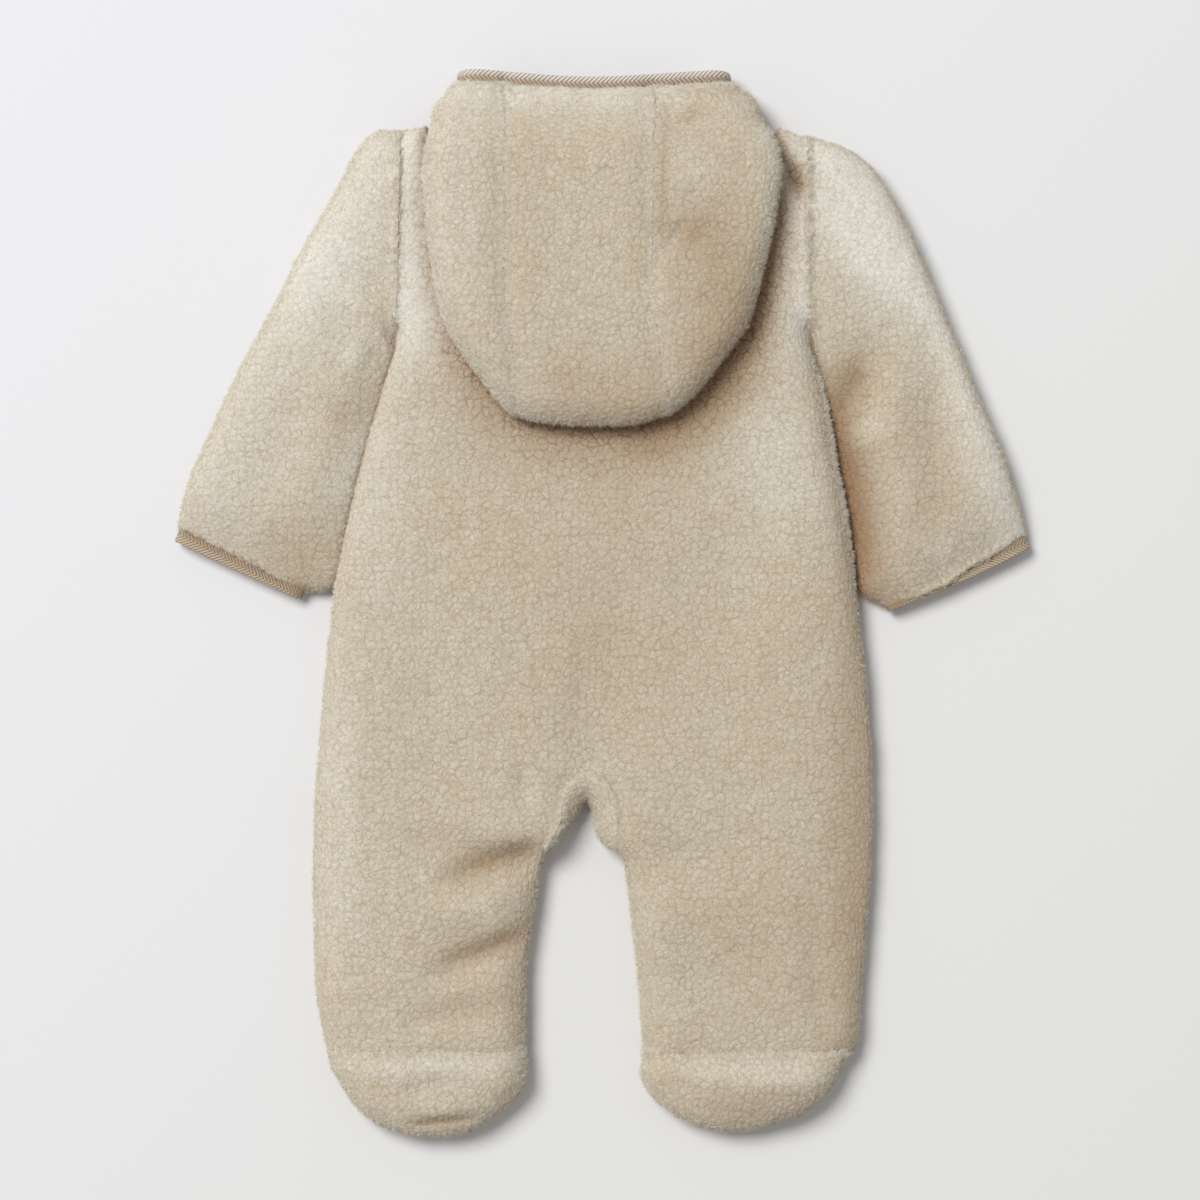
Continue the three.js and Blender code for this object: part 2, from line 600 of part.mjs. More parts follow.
// The horseshoe between the legs, rolled from the inseam down to the fronts.
const GUSSET_PARTS = [0, 0.3, 0.6, 0.85, 0.98, 1];
const GUSSET_SUNK = 1;
function crotchGusset() {
  const section = (row, hand) => {
    const sign = hand === 'left' ? 1 : -1;
    const seam = [row[hand] + (row === INSEAM[0] ? 0 : sign * 2 * SEAM_GAP), row.y - 2 * SEAM_GAP];
    const gap = [innerLeg(row[`${hand}Gap`], hand), row[`${hand}Gap`]];
    const across = [gap[0] - seam[0], gap[1] - seam[1]];
    const width = Math.hypot(...across);
    const wall = 0.8 * Math.min(PILE_WALL, width);
    return GUSSET_PARTS.map((part) => {
      const [x, y] = [seam[0] + across[0] * part, seam[1] + across[1] * part];
      const roll = Math.sqrt(1 - part ** 2);
      const top = BODY_TOP - GUSSET_SUNK - folded(BODY_FOLDS, x, y);
      const back = part * wall / width;
      return [
        new THREE.Vector3(x, y, SIDE_SEAM + (top - SIDE_SEAM) * roll),
        new THREE.Vector3(
          x - across[0] * back,
          y - across[1] * back,
          SIDE_SEAM + (BACK_LINING - SIDE_SEAM) * roll,
        ),
      ];
    });
  };
  const rows = INSEAM.slice(0, -1);
  return new Cloth().rows([
    ...rows.slice(1).reverse().map((row) => section(row, 'left')),
    ...rows.map((row) => section(row, 'right')),
  ]).mesh('crotch_gusset', CREAM);
}

// The laid sleeve: a flat tube, open at the armhole and at the cuff.
class Sleeve {
  constructor(hand) {
    this.hand = hand;
    this.sign = hand === 'left' ? -1 : 1;
    this.table = SLEEVES[hand].map((row, i) => ({ ...row, step: -i }));
    this.last = this.table.length - 1;
    const run = (end) => range(0, this.last, 240).map((at) => this.end(at, end));
    this.edge = new Edge(run('inner'), run('outer'));
    const [inner, outer] = [this.end(this.last, 'inner'), this.end(this.last, 'outer')];
    this.cuff = new Edge([inner, outer]);
    const [dx, dy] = [outer[0] - inner[0], outer[1] - inner[1]];
    const length = Math.hypot(dx, dy);
    this.away = [this.sign * dy / length, -this.sign * dx / length];
  }

  // A place on the inner or the outer edge, kept just clear of the body.
  end(at, name) {
    const x = read(this.table, 'step', `${name}X`, -at);
    const y = read(this.table, 'step', `${name}Y`, -at);
    const clear = side(y, this.hand) + this.sign * (at > 0 ? SIDE_GAP : SEAM_GAP);
    return [name === 'inner' ? this.sign * Math.max(this.sign * x, this.sign * clear) : x, y];
  }

  // Places across the sleeve at one section, from the underarm to the outer fold.
  across(at, count) {
    const [[ix, iy], [ox, oy]] = [this.end(at, 'inner'), this.end(at, 'outer')];
    const length = Math.hypot(ox - ix, oy - iy);
    return spread(INSIDE, length - INSIDE, count).map((d) => {
      const part = d / length;
      const x = ix + (ox - ix) * part;
      const sag = CUFF_SAG[this.hand] * 4 * part * (1 - part);
      const y = iy + (oy - iy) * part - sag * (at / this.last) ** 4;
      const seam = side(y, this.hand) + this.sign * SEAM_GAP;
      return [at === 0 ? seam : x, y];
    });
  }

  // The ring of points round one section: over the top, then back along the surface.
  ring(at) {
    const places = this.across(at, SLEEVE_COLUMNS);
    const over = places.map(([x, y]) => this.point(x, y, true));
    const under = places.slice(1, -1).reverse().map(([x, y]) => this.point(x, y, false));
    return [...over, ...under];
  }

  point(x, y, above) {
    const near = this.edge.nearest(x, y);
    const [moveX, moveY] = inwardShift(x, y, near, PILE_WALL, BODY_ROLL, SEAMS);
    const drop = CUFF_DROP * Math.exp(-this.cuff.nearest(x, y).distance / CUFF_DROP_WIDTH);
    const width = above ? BODY_ROLL : FRONT_ROLL;
    const roll = rolled(near.distance, width);
    const top = BODY_TOP - folded(SLEEVE_FOLDS, x, y) - seamDip(x, y) - drop;
    const face = above ? top : 0;
    const lining = above
      ? THREE.MathUtils.clamp(top - PILE_WALL, BACK_LINING_LOWEST, BACK_LINING)
      : FRONT_LINING;
    const innerRoll = rolled(near.distance, BODY_ROLL);
    return [
      new THREE.Vector3(x, y, SIDE_SEAM + (face - SIDE_SEAM) * roll),
      new THREE.Vector3(x + moveX, y + moveY, SIDE_SEAM + (lining - SIDE_SEAM) * innerRoll),
    ];
  }

  mesh() {
    const rows = [0, 0.35, ...range(1, this.last - 0.5, SLEEVE_ROWS), this.last - 0.15, this.last];
    return new Cloth().rows(rows.map((at) => this.ring(at)), true).mesh(`sleeve_${this.hand}`, CREAM);
  }

  // A point of the binding, so far out beyond the sleeve's end and a little in from its folds.
  bindingPoint([x, y], above, out) {
    const near = this.edge.nearest(x, y);
    const roll = rolled(near.distance, CUFF.roll);
    const round = out > TAPE_WIDTH / 2 ? CUFF.round * (out / TAPE_WIDTH) ** 4 : 0;
    const face = above ? CUFF.high - round : CUFF.low + round;
    const lining = above ? CUFF.highLining : CUFF.lowLining;
    const middle = (CUFF.low + CUFF.high) / 2;
    const inward = CUFF.tuck + (TAPE_THICKNESS - 1) * (1 - Math.min(1, near.distance / CUFF.roll));
    const place = (tuck, z) => new THREE.Vector3(
      x + near.x * tuck + this.away[0] * out,
      y + near.y * tuck + this.away[1] * out,
      middle + (z - middle) * roll,
    );
    return [place(CUFF.tuck, face), place(inward, lining)];
  }

  // The binding goes on beyond the sleeve's end as a lower ring.
  binding() {
    const places = this.across(this.last, SLEEVE_COLUMNS);
    const rows = [SEAM_GAP, TAPE_WIDTH * 0.75, TAPE_WIDTH].map((out) => [
      ...places.map((place) => this.bindingPoint(place, true, out)),
      ...places.slice(1, -1).reverse().map((place) => this.bindingPoint(place, false, out)),
    ]);
    return new Cloth().rows(rows, true).mesh(`cuff_binding_${this.hand}`, TWILL);
  }
}

const hoodSeam = (y, hand) => read(HOOD_SEAMS, 'y', hand, y, true);
const HOOD_OUTLINE = [
  ...HOOD_ROWS.map((row) => row.left),
  ...CROWN.slice(1, -1).map(({ x, y }) => [x, y]),
  ...HOOD_ROWS.map((row) => row.right).reverse(),
];
const HOOD_EDGE = new Edge(HOOD_OUTLINE);
const HOOD_SEAM_LINES = new Edge(
  ...['left', 'right'].map((hand) => HOOD_SEAMS.map((row) => [row[hand], row.y])));

// The height of the hood's underside: on the back, then over the neck edge to the surface.
function hoodUnder(y) {
  if (y >= LIP_START) return 0;
  const t = Math.max(0, (y - NECK_EDGE + NECK_ROLL) / (NECK_ROLL + 1.6));
  return SIDE_SEAM + (HOOD_BASE - SIDE_SEAM) * Math.sqrt(Math.max(0, 1 - t * t));
}

// How near a row of the hood is to the face edge, from 0 where the lips start to 1 at the edge.
const towardsFace = (y) => (
  THREE.MathUtils.clamp((y - LIP_START) / (HOOD_ROWS[0].y - LIP_START), 0, 1));

// The face edge sags in the middle, and the rows behind it sag less and less.
const sagged = (x, y) => (
  y - towardsFace(y) * FACE_SAG * Math.max(0, 1 - ((x - FACE_MIDDLE) / FACE_HALF) ** 2) ** 2);

// A point of the hood's outer layer or of its under layer, rolled into each other at the outline.
function hoodPoint(x, level, above) {
  const y = above ? sagged(x, level) : level;
  const near = HOOD_EDGE.nearest(x, y);
  const roll = rolled(near.distance, HOOD_ROLL);
  const dip = SEAM_DIP * Math.max(0, 1 - HOOD_SEAM_LINES.nearest(x, y).distance / SEAM_DIP_WIDTH);
  const top = read(HOOD_TOP, 'y', 'z', y) - folded(HOOD_FOLDS, x, y) - dip;
  const under = hoodUnder(y);
  const middle = under + 0.45 * (top - under);
  const lining = read(HOOD_LINING, 'y', 'z', y);
  const roof = Math.max(top - PILE_WALL, lining + HOOD_HOLLOW);
  const pocket = (lining + roof) / 2;
  const [moveX, moveY] = inwardShift(x, y, near, HOOD_WALL, HOOD_ROLL, HOOD_SEAM_LINES);
  return [
    new THREE.Vector3(x, y, middle + ((above ? top : under) - middle) * roll),
    new THREE.Vector3(
      x + moveX,
      y + moveY * (1 - towardsFace(level)),
      pocket + ((above ? roof : lining) - pocket) * roll,
    ),
  ];
}

// Distances from the hood's outline at which its cloth has points.
const HOOD_STEPS = [INSIDE, 1, 4, 8.5, 13];
const LIP_WIDTH = 3;

// A side panel's section at one row: from the seam out over the top and back underneath, to the
// seam again or, above the neck, to the lip that runs down to the centre front.
function hoodSection(row, hand) {
  const sign = hand === 'left' ? -1 : 1;
  const seam = [hoodSeam(row.y, hand) + sign * SEAM_GAP / 2, row.y];
  const edge = row[hand];
  const toEdge = [edge[0] - seam[0], edge[1] - seam[1]];
  const length = Math.hypot(...toEdge);
  const place = (distance) => (
    [edge[0] - toEdge[0] * distance / length, edge[1] - toEdge[1] * distance / length]);
  const reach = HOOD_STEPS.at(-1);
  const steps = (end) => {
    const scale = Math.min(1, end / (1.5 * reach));
    const flat = [1 / 3, 2 / 3, 1].map((part) => reach * scale + (end - reach * scale) * part);
    return [...HOOD_STEPS.map((step) => step * scale), ...flat];
  };
  const lip = row.y >= LIP_START;
  const open = 1 - towardsFace(row.y);
  const start = reach + LIP_WIDTH;
  const lipEnd = start + open * (Math.abs(edge[0] - FRONT_X) - start - SEAM_GAP);
  const over = steps(length).reverse().map((distance) => hoodPoint(...place(distance), true));
  const underEnd = lip ? lipEnd : length;
  const under = steps(underEnd).slice(1).map((distance) => (
    hoodPoint(...(lip ? [edge[0] - sign * distance, edge[1]] : place(distance)), false)));
  return [...over, ...under];
}

function hoodSide(hand) {
  const rows = HOOD_ROWS.map((row) => hoodSection(row, hand));
  return new Cloth().rows(rows).mesh(`hood_side_${hand}`, CREAM);
}

// The centre panel: from the face edge over the crown and back underneath to the neck.
const HOOD_COLUMNS = 7;
const CROWN_SEAM_END = 109;
const CROWN_START = 126;
function hoodCentreRows() {
  const crownEdge = (x) => {
    const i = Math.max(1, CROWN.findIndex((row) => row.x >= x));
    const [a, b] = [CROWN[i - 1], CROWN[i] ?? CROWN.at(-1)];
    return a.y + (b.y - a.y) * THREE.MathUtils.clamp((x - a.x) / (b.x - a.x || 1), 0, 1);
  };
  const place = (y, part, inset) => {
    const level = inset === null ? y : CROWN_SEAM_END + inset;
    const left = hoodSeam(level, 'left') + SEAM_GAP / 2;
    const right = hoodSeam(level, 'right') - SEAM_GAP / 2;
    const x = left + (right - left) * part;
    return [x, inset === null ? y : crownEdge(x) + inset];
  };
  const parts = range(0, 1, HOOD_COLUMNS);
  const row = (y, inset, above) => parts.map((part) => hoodPoint(...place(y, part, inset), above));
  const levels = HOOD_ROWS.map(({ y }) => y).filter((y) => y > CROWN_START);
  const insets = HOOD_STEPS.slice(1).reverse();
  return [
    ...levels.map((y) => row(y, null, true)),
    ...insets.map((inset) => row(0, inset, true)),
    row(0, INSIDE, true),
    ...insets.slice().reverse().map((inset) => row(0, inset, false)),
    ...levels.slice().reverse().filter((y) => y <= HOOD_CENTRE_END).map((y) => row(y, null, false)),
  ];
}

// The binding follows the face edge: up one lip, round the corner, over the top and down again.
// Its section is given as distances out from the edge and across the tape.
const BINDING_SECTION = [
  [0.4, TAPE_THICKNESS / 2],
  [TAPE_WIDTH - 1.2, TAPE_THICKNESS / 2],
  [TAPE_WIDTH, TAPE_THICKNESS / 5],
  [TAPE_WIDTH, -TAPE_THICKNESS / 5],
  [TAPE_WIDTH - 1.2, -TAPE_THICKNESS / 2],
  [0.4, -TAPE_THICKNESS / 2],
];
function hoodBinding() {
  const lips = HOOD_ROWS.filter((row) => row.y >= LIP_START);
  const lipRun = (hand) => lips.map((row) => hoodSection(row, hand).at(-1)).reverse();
  const corner = (hand) => hoodSection(HOOD_ROWS[0], hand).reverse();
  const path = [
    ...lipRun('left').slice(0, -1),
    ...corner('left'),
    ...hoodCentreRows()[0].slice(1, -1),
    ...corner('right').reverse(),
    ...lipRun('right').reverse().slice(1),
  ].map(([outer, inner]) => ({
    middle: outer.clone().lerp(inner, 0.5),
    normal: outer.clone().sub(inner).normalize(),
  }));
  const sections = path.map(({ middle, normal }, i) => {
    const ahead = path[Math.min(i + 1, path.length - 1)].middle;
    const behind = path[Math.max(i - 1, 0)].middle;
    const along = ahead.clone().sub(behind).normalize();
    const away = new THREE.Vector3().crossVectors(along, normal).normalize();
    if (away.y < 0) away.negate();
    return BINDING_SECTION.map(([out, up]) => (
      middle.clone().addScaledVector(away, out).addScaledVector(normal, up)));
  });
  return closedSweep('hood_binding', TWILL, sections);
}

// A solid through sections of the same number of points, capped at both ends.
function closedSweep(name, finish, sections) {
  const count = sections[0].length;
  const points = sections.flat();
  const faces = [];
  for (let s = 1; s < sections.length; s += 1) {
    for (let i = 0; i < count; i += 1) {
      const j = (i + 1) % count;
      const [a, b] = [(s - 1) * count, s * count];
      faces.push([a + i, a + j, b + j], [a + i, b + j, b + i]);
    }
  }
  const end = (sections.length - 1) * count;
  for (let i = 1; i < count - 1; i += 1) {
    faces.push([0, i + 1, i], [end, end + i, end + i + 1]);
  }
  return solid(name, finish, points, faces);
}

// A plate with an outline in X and Y, from one height to another, with an optional hole.
function plate(name, finish, outline, low, high, hole = null) {
  const shape = new THREE.Shape(outline.map(([x, y]) => new THREE.Vector2(x, y)));
  if (hole) shape.holes.push(new THREE.Path(hole.map(([x, y]) => new THREE.Vector2(x, y))));
  const geometry = new THREE.ExtrudeGeometry(shape, { depth: high - low, bevelEnabled: false });
  return named(name, geometry.translate(0, 0, low), finish);
}

const rectangle = (x0, x1, y0, y1) => [[x0, y0], [x1, y0], [x1, y1], [x0, y1]];

// The zip: chain, tapes, slider and pull tab, on the line between the fronts.
function zip() {
  const low = FRONT_LINING + SEAM_GAP;
  const chainLow = low - (CHAIN_THICKNESS - ZIP_TAPE_THICKNESS) / 2;
  const edge = CHAIN_WIDTH / 2;
  const chainEnd = SLIDER_Y + SLIDER.length / 10;
  const teeth = rectangle(FRONT_X - edge, FRONT_X + edge, ZIP_BOTTOM, chainEnd);
  const tape = (name, from, to) => (
    plate(name, ZIP_CLOTH, rectangle(from, to, ZIP_BOTTOM, ZIP_TOP), low, low + ZIP_TAPE_THICKNESS));
  return [
    plate('zip_chain', ZIP_METAL, teeth, chainLow, chainLow + CHAIN_THICKNESS),
    tape('zip_tape_left', FRONT_X - TAPE_REACH, FRONT_X - edge - SEAM_GAP),
    tape('zip_tape_right', FRONT_X + edge + SEAM_GAP, FRONT_X + TAPE_REACH),
    zipSlider(chainLow),
    zipPull(chainLow),
  ];
}

// Solids made one, with the name and finish of the first.
function joined(meshes) {
  const parts = meshes.map((mesh) => {
    const bare = mesh.geometry.clone().deleteAttribute('normal').deleteAttribute('uv');
    const merged = mergeVertices(bare, 1e-4);
    return new wasm.Manifold(new wasm.Mesh({
      numProp: 3,
      vertProperties: merged.attributes.position.array,
      triVerts: new Uint32Array(merged.index.array),
    }));
  });
  const { vertProperties, triVerts } = parts.reduce((sum, part) => sum.add(part)).getMesh();
  const geometry = new THREE.BufferGeometry();
  geometry.setAttribute('position', new THREE.BufferAttribute(vertProperties, 3));
  geometry.setIndex(new THREE.BufferAttribute(triVerts, 1));
  geometry.computeVertexNormals();
  return named(meshes[0].name, geometry, ZIP_METAL);
}

// A profile in Y and Z as a solid across the line of the zip.
function across(name, profile, half, hole = null) {
  const mesh = plate(name, ZIP_METAL, profile, -half, half, hole);
  mesh.geometry.applyMatrix4(new THREE.Matrix4().makeBasis(
    new THREE.Vector3(0, 1, 0), new THREE.Vector3(0, 0, 1), new THREE.Vector3(1, 0, 0)));
  return mesh;
}

// The slider: two plates joined by a post past the chain's end, and on the outer plate the
// bridge that the pull tab hangs on.
function zipSlider(chainLow) {
  const low = chainLow - SLIDER.gap - SLIDER.plate;
  const high = chainLow + CHAIN_THICKNESS + SLIDER.gap + SLIDER.plate;
  const end = SLIDER.length / 2;
  const block = (y0, y1, z0, z1) => [[y0, z0], [y1, z0], [y1, z1], [y0, z1]];
  const inside = BRIDGE.half - BRIDGE.wall;
  const foot = low - BRIDGE.rise;
  const sunk = SLIDER.plate / 2;
  const bridge = block(-BRIDGE.half, BRIDGE.half, foot, low + sunk);
  const opening = block(-inside, inside, foot + BRIDGE.wall, low);
  const body = joined([
    across('zip_slider', block(-end, end, low, low + SLIDER.plate), SLIDER.half),
    across('inner_plate', block(-end, end, high - SLIDER.plate, high), SLIDER.half),
    across('post', block(end - SLIDER.post, end, low + sunk, high - sunk), SLIDER.post / 2),
    across('bridge', bridge, BRIDGE.width / 2, opening),
  ]);
  body.position.set(FRONT_X, SLIDER_Y, 0);
  return body;
}

// The pull tab lies along the chain below the slider and turns about its end bar.
function zipPull(chainLow) {
  const axis = chainLow - SLIDER.gap - SLIDER.plate - PULL.drop;
  const half = PULL.width / 2;
  const { bar, corner, length } = PULL;
  const outline = [
    [-half, bar],
    [half, bar],
    [half, corner - length],
    [half - corner, -length],
    [corner - half, -length],
    [-half, corner - length],
  ];
  const hole = rectangle(-corner, corner, -PULL.hole, -bar);
  const tab = plate('zip_pull', ZIP_METAL, outline, -bar, bar, hole);
  tab.position.set(FRONT_X, SLIDER_Y, axis);
  return tab;
}

const sleeves = ['left', 'right'].map((hand) => new Sleeve(hand));
const pramsuit = new THREE.Group();
pramsuit.add(
  back(),
  front('left'),
  front('right'),
  sole('left'),
  sole('right'),
  crotchGusset(),
  ...sleeves.map((sleeve) => sleeve.mesh()),
  ...sleeves.map((sleeve) => sleeve.binding()),
  new Cloth().rows(hoodCentreRows()).mesh('hood_centre', CREAM),
  hoodSide('left'),
  hoodSide('right'),
  hoodBinding(),
  ...zip(),
);

// The origin goes to the middle of the whole garment's box.
const middle = new THREE.Box3().setFromObject(pramsuit).getCenter(new THREE.Vector3());
pramsuit.position.set(-middle.x, -middle.y, 0);

export default pramsuit;
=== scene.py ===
"""A baby's hooded pramsuit in teddy pile, laid face down with its hood thrown back.

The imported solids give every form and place. This script refines their cloth, raises the nubs of
the pile, dresses the twill bindings, the lining and the zip, and sets a pale studio around them.
"""

from __future__ import annotations

import json
import logging
import math
from dataclasses import dataclass, field
from enum import Enum

import bpy
import numpy as np
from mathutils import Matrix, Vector
from mathutils.bvhtree import BVHTree

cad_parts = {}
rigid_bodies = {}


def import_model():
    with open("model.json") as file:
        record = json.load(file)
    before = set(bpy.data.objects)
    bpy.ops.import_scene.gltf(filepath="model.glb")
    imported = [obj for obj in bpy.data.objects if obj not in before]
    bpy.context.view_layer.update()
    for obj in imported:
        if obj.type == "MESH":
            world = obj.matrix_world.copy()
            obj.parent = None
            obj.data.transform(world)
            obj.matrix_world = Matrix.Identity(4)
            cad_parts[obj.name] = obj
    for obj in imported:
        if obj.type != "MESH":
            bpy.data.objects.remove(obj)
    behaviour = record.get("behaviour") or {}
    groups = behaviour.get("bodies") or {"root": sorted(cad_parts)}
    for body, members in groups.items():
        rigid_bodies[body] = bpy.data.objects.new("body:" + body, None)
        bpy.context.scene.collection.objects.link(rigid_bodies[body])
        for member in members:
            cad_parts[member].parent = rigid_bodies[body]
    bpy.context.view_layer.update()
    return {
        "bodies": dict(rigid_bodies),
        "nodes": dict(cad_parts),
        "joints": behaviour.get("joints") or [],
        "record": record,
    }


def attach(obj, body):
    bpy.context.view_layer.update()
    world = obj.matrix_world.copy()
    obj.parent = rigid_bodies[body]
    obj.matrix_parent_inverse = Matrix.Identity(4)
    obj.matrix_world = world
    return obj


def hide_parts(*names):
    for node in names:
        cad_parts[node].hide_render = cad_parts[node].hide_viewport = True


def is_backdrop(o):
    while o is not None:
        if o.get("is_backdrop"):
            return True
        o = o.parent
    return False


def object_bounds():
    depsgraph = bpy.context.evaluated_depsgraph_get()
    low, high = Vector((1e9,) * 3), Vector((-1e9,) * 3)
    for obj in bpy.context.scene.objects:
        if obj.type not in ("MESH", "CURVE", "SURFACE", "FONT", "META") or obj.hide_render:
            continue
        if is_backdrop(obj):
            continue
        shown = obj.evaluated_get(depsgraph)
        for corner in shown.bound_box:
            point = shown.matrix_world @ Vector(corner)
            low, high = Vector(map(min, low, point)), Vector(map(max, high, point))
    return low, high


LOG = logging.getLogger("pramsuit")
BODY = "garment"
MM = 0.001
Colour = tuple[float, float, float]
Sockets = dict[str | int, object]


def linear(red: int, green: int, blue: int) -> Colour:
    """Turns a screen colour of 0 to 255 into a linear one."""
    parts = (red / 255, green / 255, blue / 255)
    return tuple(c / 12.92 if c <= 0.04045 else ((c + 0.055) / 1.055) ** 2.4 for c in parts)


class Slot(Enum):
    """The record's material slots for cloth."""

    PILE = "pile"
    TWILL = "twill"


class Side(Enum):
    """The two hands of the suit, seen from above as it lies."""

    LEFT = "left"
    RIGHT = "right"


class Feature(Enum):
    """What a cell pattern measures."""

    MIDDLE = "F1"
    EDGE = "DISTANCE_TO_EDGE"


# ---------------------------------------------------------------------------------------------
# Node trees written as expressions

CELL_UNEVENNESS = 0.9


class Value:
    """A number, vector or colour socket that takes part in Python expressions."""

    def __init__(self, tree: Tree, socket: bpy.types.NodeSocket) -> None:
        """Wraps a socket.

        Args:
            tree: The tree that the socket is in.
            socket: The output socket.
        """
        self.tree = tree
        self.socket = socket

    def _math(self, operation: str, first: object, second: object) -> Value:
        """Adds a Math node.

        Args:
            operation: The node's operation.
            first: Its first value or link.
            second: Its second value or link.

        Returns:
            The node's output.
        """
        return self.tree.node("ShaderNodeMath", {"operation": operation}, {0: first, 1: second})

    def __add__(self, other: object) -> Value:
        """Adds a number or a value."""
        return self._math("ADD", self, other)

    __radd__ = __add__

    def __sub__(self, other: object) -> Value:
        """Takes a number or a value away."""
        return self._math("SUBTRACT", self, other)

    def __rsub__(self, other: object) -> Value:
        """Is taken away from a number."""
        return self._math("SUBTRACT", other, self)

    def __mul__(self, other: object) -> Value:
        """Multiplies by a number or a value."""
        return self._math("MULTIPLY", self, other)

    __rmul__ = __mul__

    def __truediv__(self, other: object) -> Value:
        """Divides by a number or a value."""
        return self._math("DIVIDE", self, other)

    def __pow__(self, other: object) -> Value:
        """Raises to a power."""
        return self._math("POWER", self, other)

    def fraction(self) -> Value:
        """Keeps what is past the last whole number."""
        return self._math("FRACT", self, 0.0)

    def size(self) -> Value:
        """Drops the sign."""
        return self._math("ABSOLUTE", self, 0.0)

    def at_most(self, other: object) -> Value:
        """Keeps the smaller of two."""
        return self._math("MINIMUM", self, other)

    def at_least(self, other: object) -> Value:
        """Keeps the larger of two."""
        return self._math("MAXIMUM", self, other)

    def ramp(self, low: float, high: float) -> Value:
        """Goes smoothly from 0 at low to 1 at high.

        Args:
            low: The value that gives 0.
            high: The value that gives 1.

        Returns:
            The smoothed share.
        """
        settings = {"interpolation_type": "SMOOTHSTEP"}
        sockets = {"Value": self, "From Min": low, "From Max": high}
        return self.tree.node("ShaderNodeMapRange", settings, sockets)


class Tree:
    """A node tree that is filled by expressions."""

    def __init__(self, tree: bpy.types.NodeTree) -> None:
        """Wraps a tree, emptied.

        Args:
            tree: The material's tree or a geometry group.
        """
        self.tree = tree
        tree.nodes.clear()

    def node(
        self,
        kind: str,
        settings: dict[str, object] | None = None,
        sockets: Sockets | None = None,
        output: str | int = 0,
    ) -> Value:
        """Adds a node.

        Args:
            kind: The node's type.
            settings: Its properties, set first.
            sockets: Values or links of its input sockets, by name or number.
            output: The output that the result stands for.

        Returns:
            That output.
        """
        made = self.tree.nodes.new(kind)
        for name, value in (settings or {}).items():
            setattr(made, name, value)
        for name, value in (sockets or {}).items():
            socket = made.inputs[name]
            if isinstance(value, Value):
                self.tree.links.new(value.socket, socket)
            else:
                socket.default_value = value
        if not made.outputs:
            return Value(self, None)
        return Value(self, made.outputs[output])

    def vector(self, operation: str, first: object, second: object) -> Value:
        """Adds a Vector Math node.

        Args:
            operation: The node's operation.
            first: Its first vector.
            second: Its second vector.

        Returns:
            The vector that it gives.
        """
        return self.node("ShaderNodeVectorMath", {"operation": operation}, {0: first, 1: second})

    def attribute(self, name: str, output: str = "Fac") -> Value:
        """Reads what a mesh keeps on its points.

        Args:
            name: The attribute's name.
            output: Fac for a number and Vector for a place.

        Returns:
            The attribute.
        """
        return self.node("ShaderNodeAttribute", {"attribute_name": name}, None, output)

    def position(self) -> Value:
        """Reads the place in the world, in metres."""
        return self.node("ShaderNodeNewGeometry", None, None, "Position")

    def flat_parts(self, place: Value) -> tuple[Value, Value]:
        """Splits a place.

        Args:
            place: The place.

        Returns:
            Its x and its y.
        """
        parts = self.node("ShaderNodeSeparateXYZ", None, {0: place}).socket.node
        return Value(self, parts.outputs[0]), Value(self, parts.outputs[1])

    def bump(self, relief: Value) -> Value:
        """Turns a fine relief into a normal.

        Args:
            relief: Its height, in metres.

        Returns:
            The normal.
        """
        return self.node("ShaderNodeBump", None, {"Height": relief, "Distance": 1.0})

    def mixed(self, share: object, first: object, second: object) -> Value:
        """Mixes two colours.

        Args:
            share: How much of the second shows, from 0 to 1.
            first: The first colour, a triple or a value.
            second: The second colour.

        Returns:
            The mixed colour.
        """
        four = [(*c, 1.0) if isinstance(c, tuple) else c for c in (first, second)]
        sockets = {0: share, 6: four[0], 7: four[1]}
        return self.node("ShaderNodeMix", {"data_type": "RGBA"}, sockets, 2)

    def noise(
        self,
        place: Value,
        size: float,
        detail: float = 2.0,
        output: int = 0,
        swirl: float = 0.0,
    ) -> Value:
        """Adds soft noise.

        Args:
            place: Where it is read, in metres.
            size: The size of its patches, in metres.
            detail: Its octaves.
            output: 0 for its value and 1 for its colour.
            swirl: How much its patches are drawn out into curls.

        Returns:
            The noise, about 0.5.
        """
        sockets = {"Vector": place, "Scale": 1 / size, "Detail": detail, "Distortion": swirl}
        return self.node("ShaderNodeTexNoise", None, sockets, output)

    def cells(self, place: Value, size: float, feature: Feature) -> Value:
        """Adds a flat pattern of uneven cells.

        Args:
            place: Where it is read, in metres; its z counts for nothing.
            size: The size of its cells, in metres.
            feature: What the distance is measured to.

        Returns:
            The distance, in cells.
        """
        settings = {"feature": feature.value, "voronoi_dimensions": "2D"}
        sockets = {"Vector": place, "Scale": 1 / size, "Randomness": CELL_UNEVENNESS}
        return self.node("ShaderNodeTexVoronoi", settings, sockets)


def new_material(name: str) -> tuple[bpy.types.Material, Tree]:
    """Makes an empty material.

    Args:
        name: The material's name.

    Returns:
        The material and its tree.
    """
    material = bpy.data.materials.new(name)
    material.use_nodes = True
    return material, Tree(material.node_tree)


def dress(tree: Tree, sockets: Sockets) -> None:
    """Ends a tree with a Principled shader.

    Args:
        tree: The material's tree.
        sockets: The shader's values and links.
    """
    shader = tree.node("ShaderNodeBsdfPrincipled", None, sockets)
    tree.node("ShaderNodeOutputMaterial", None, {"Surface": shader})


# ---------------------------------------------------------------------------------------------
# Finishes

# Point attributes for the materials. One carries how strongly shade is painted into hollows;
# another carries painted light above 0 and painted shade below 0, laid out in patches.
REST = "rest"
HOLLOW_SHADE = "hollow"
PAINTED_LIGHT_SHADE = "painted_light_shade"
ALONG = "along"
ACROSS = "across"


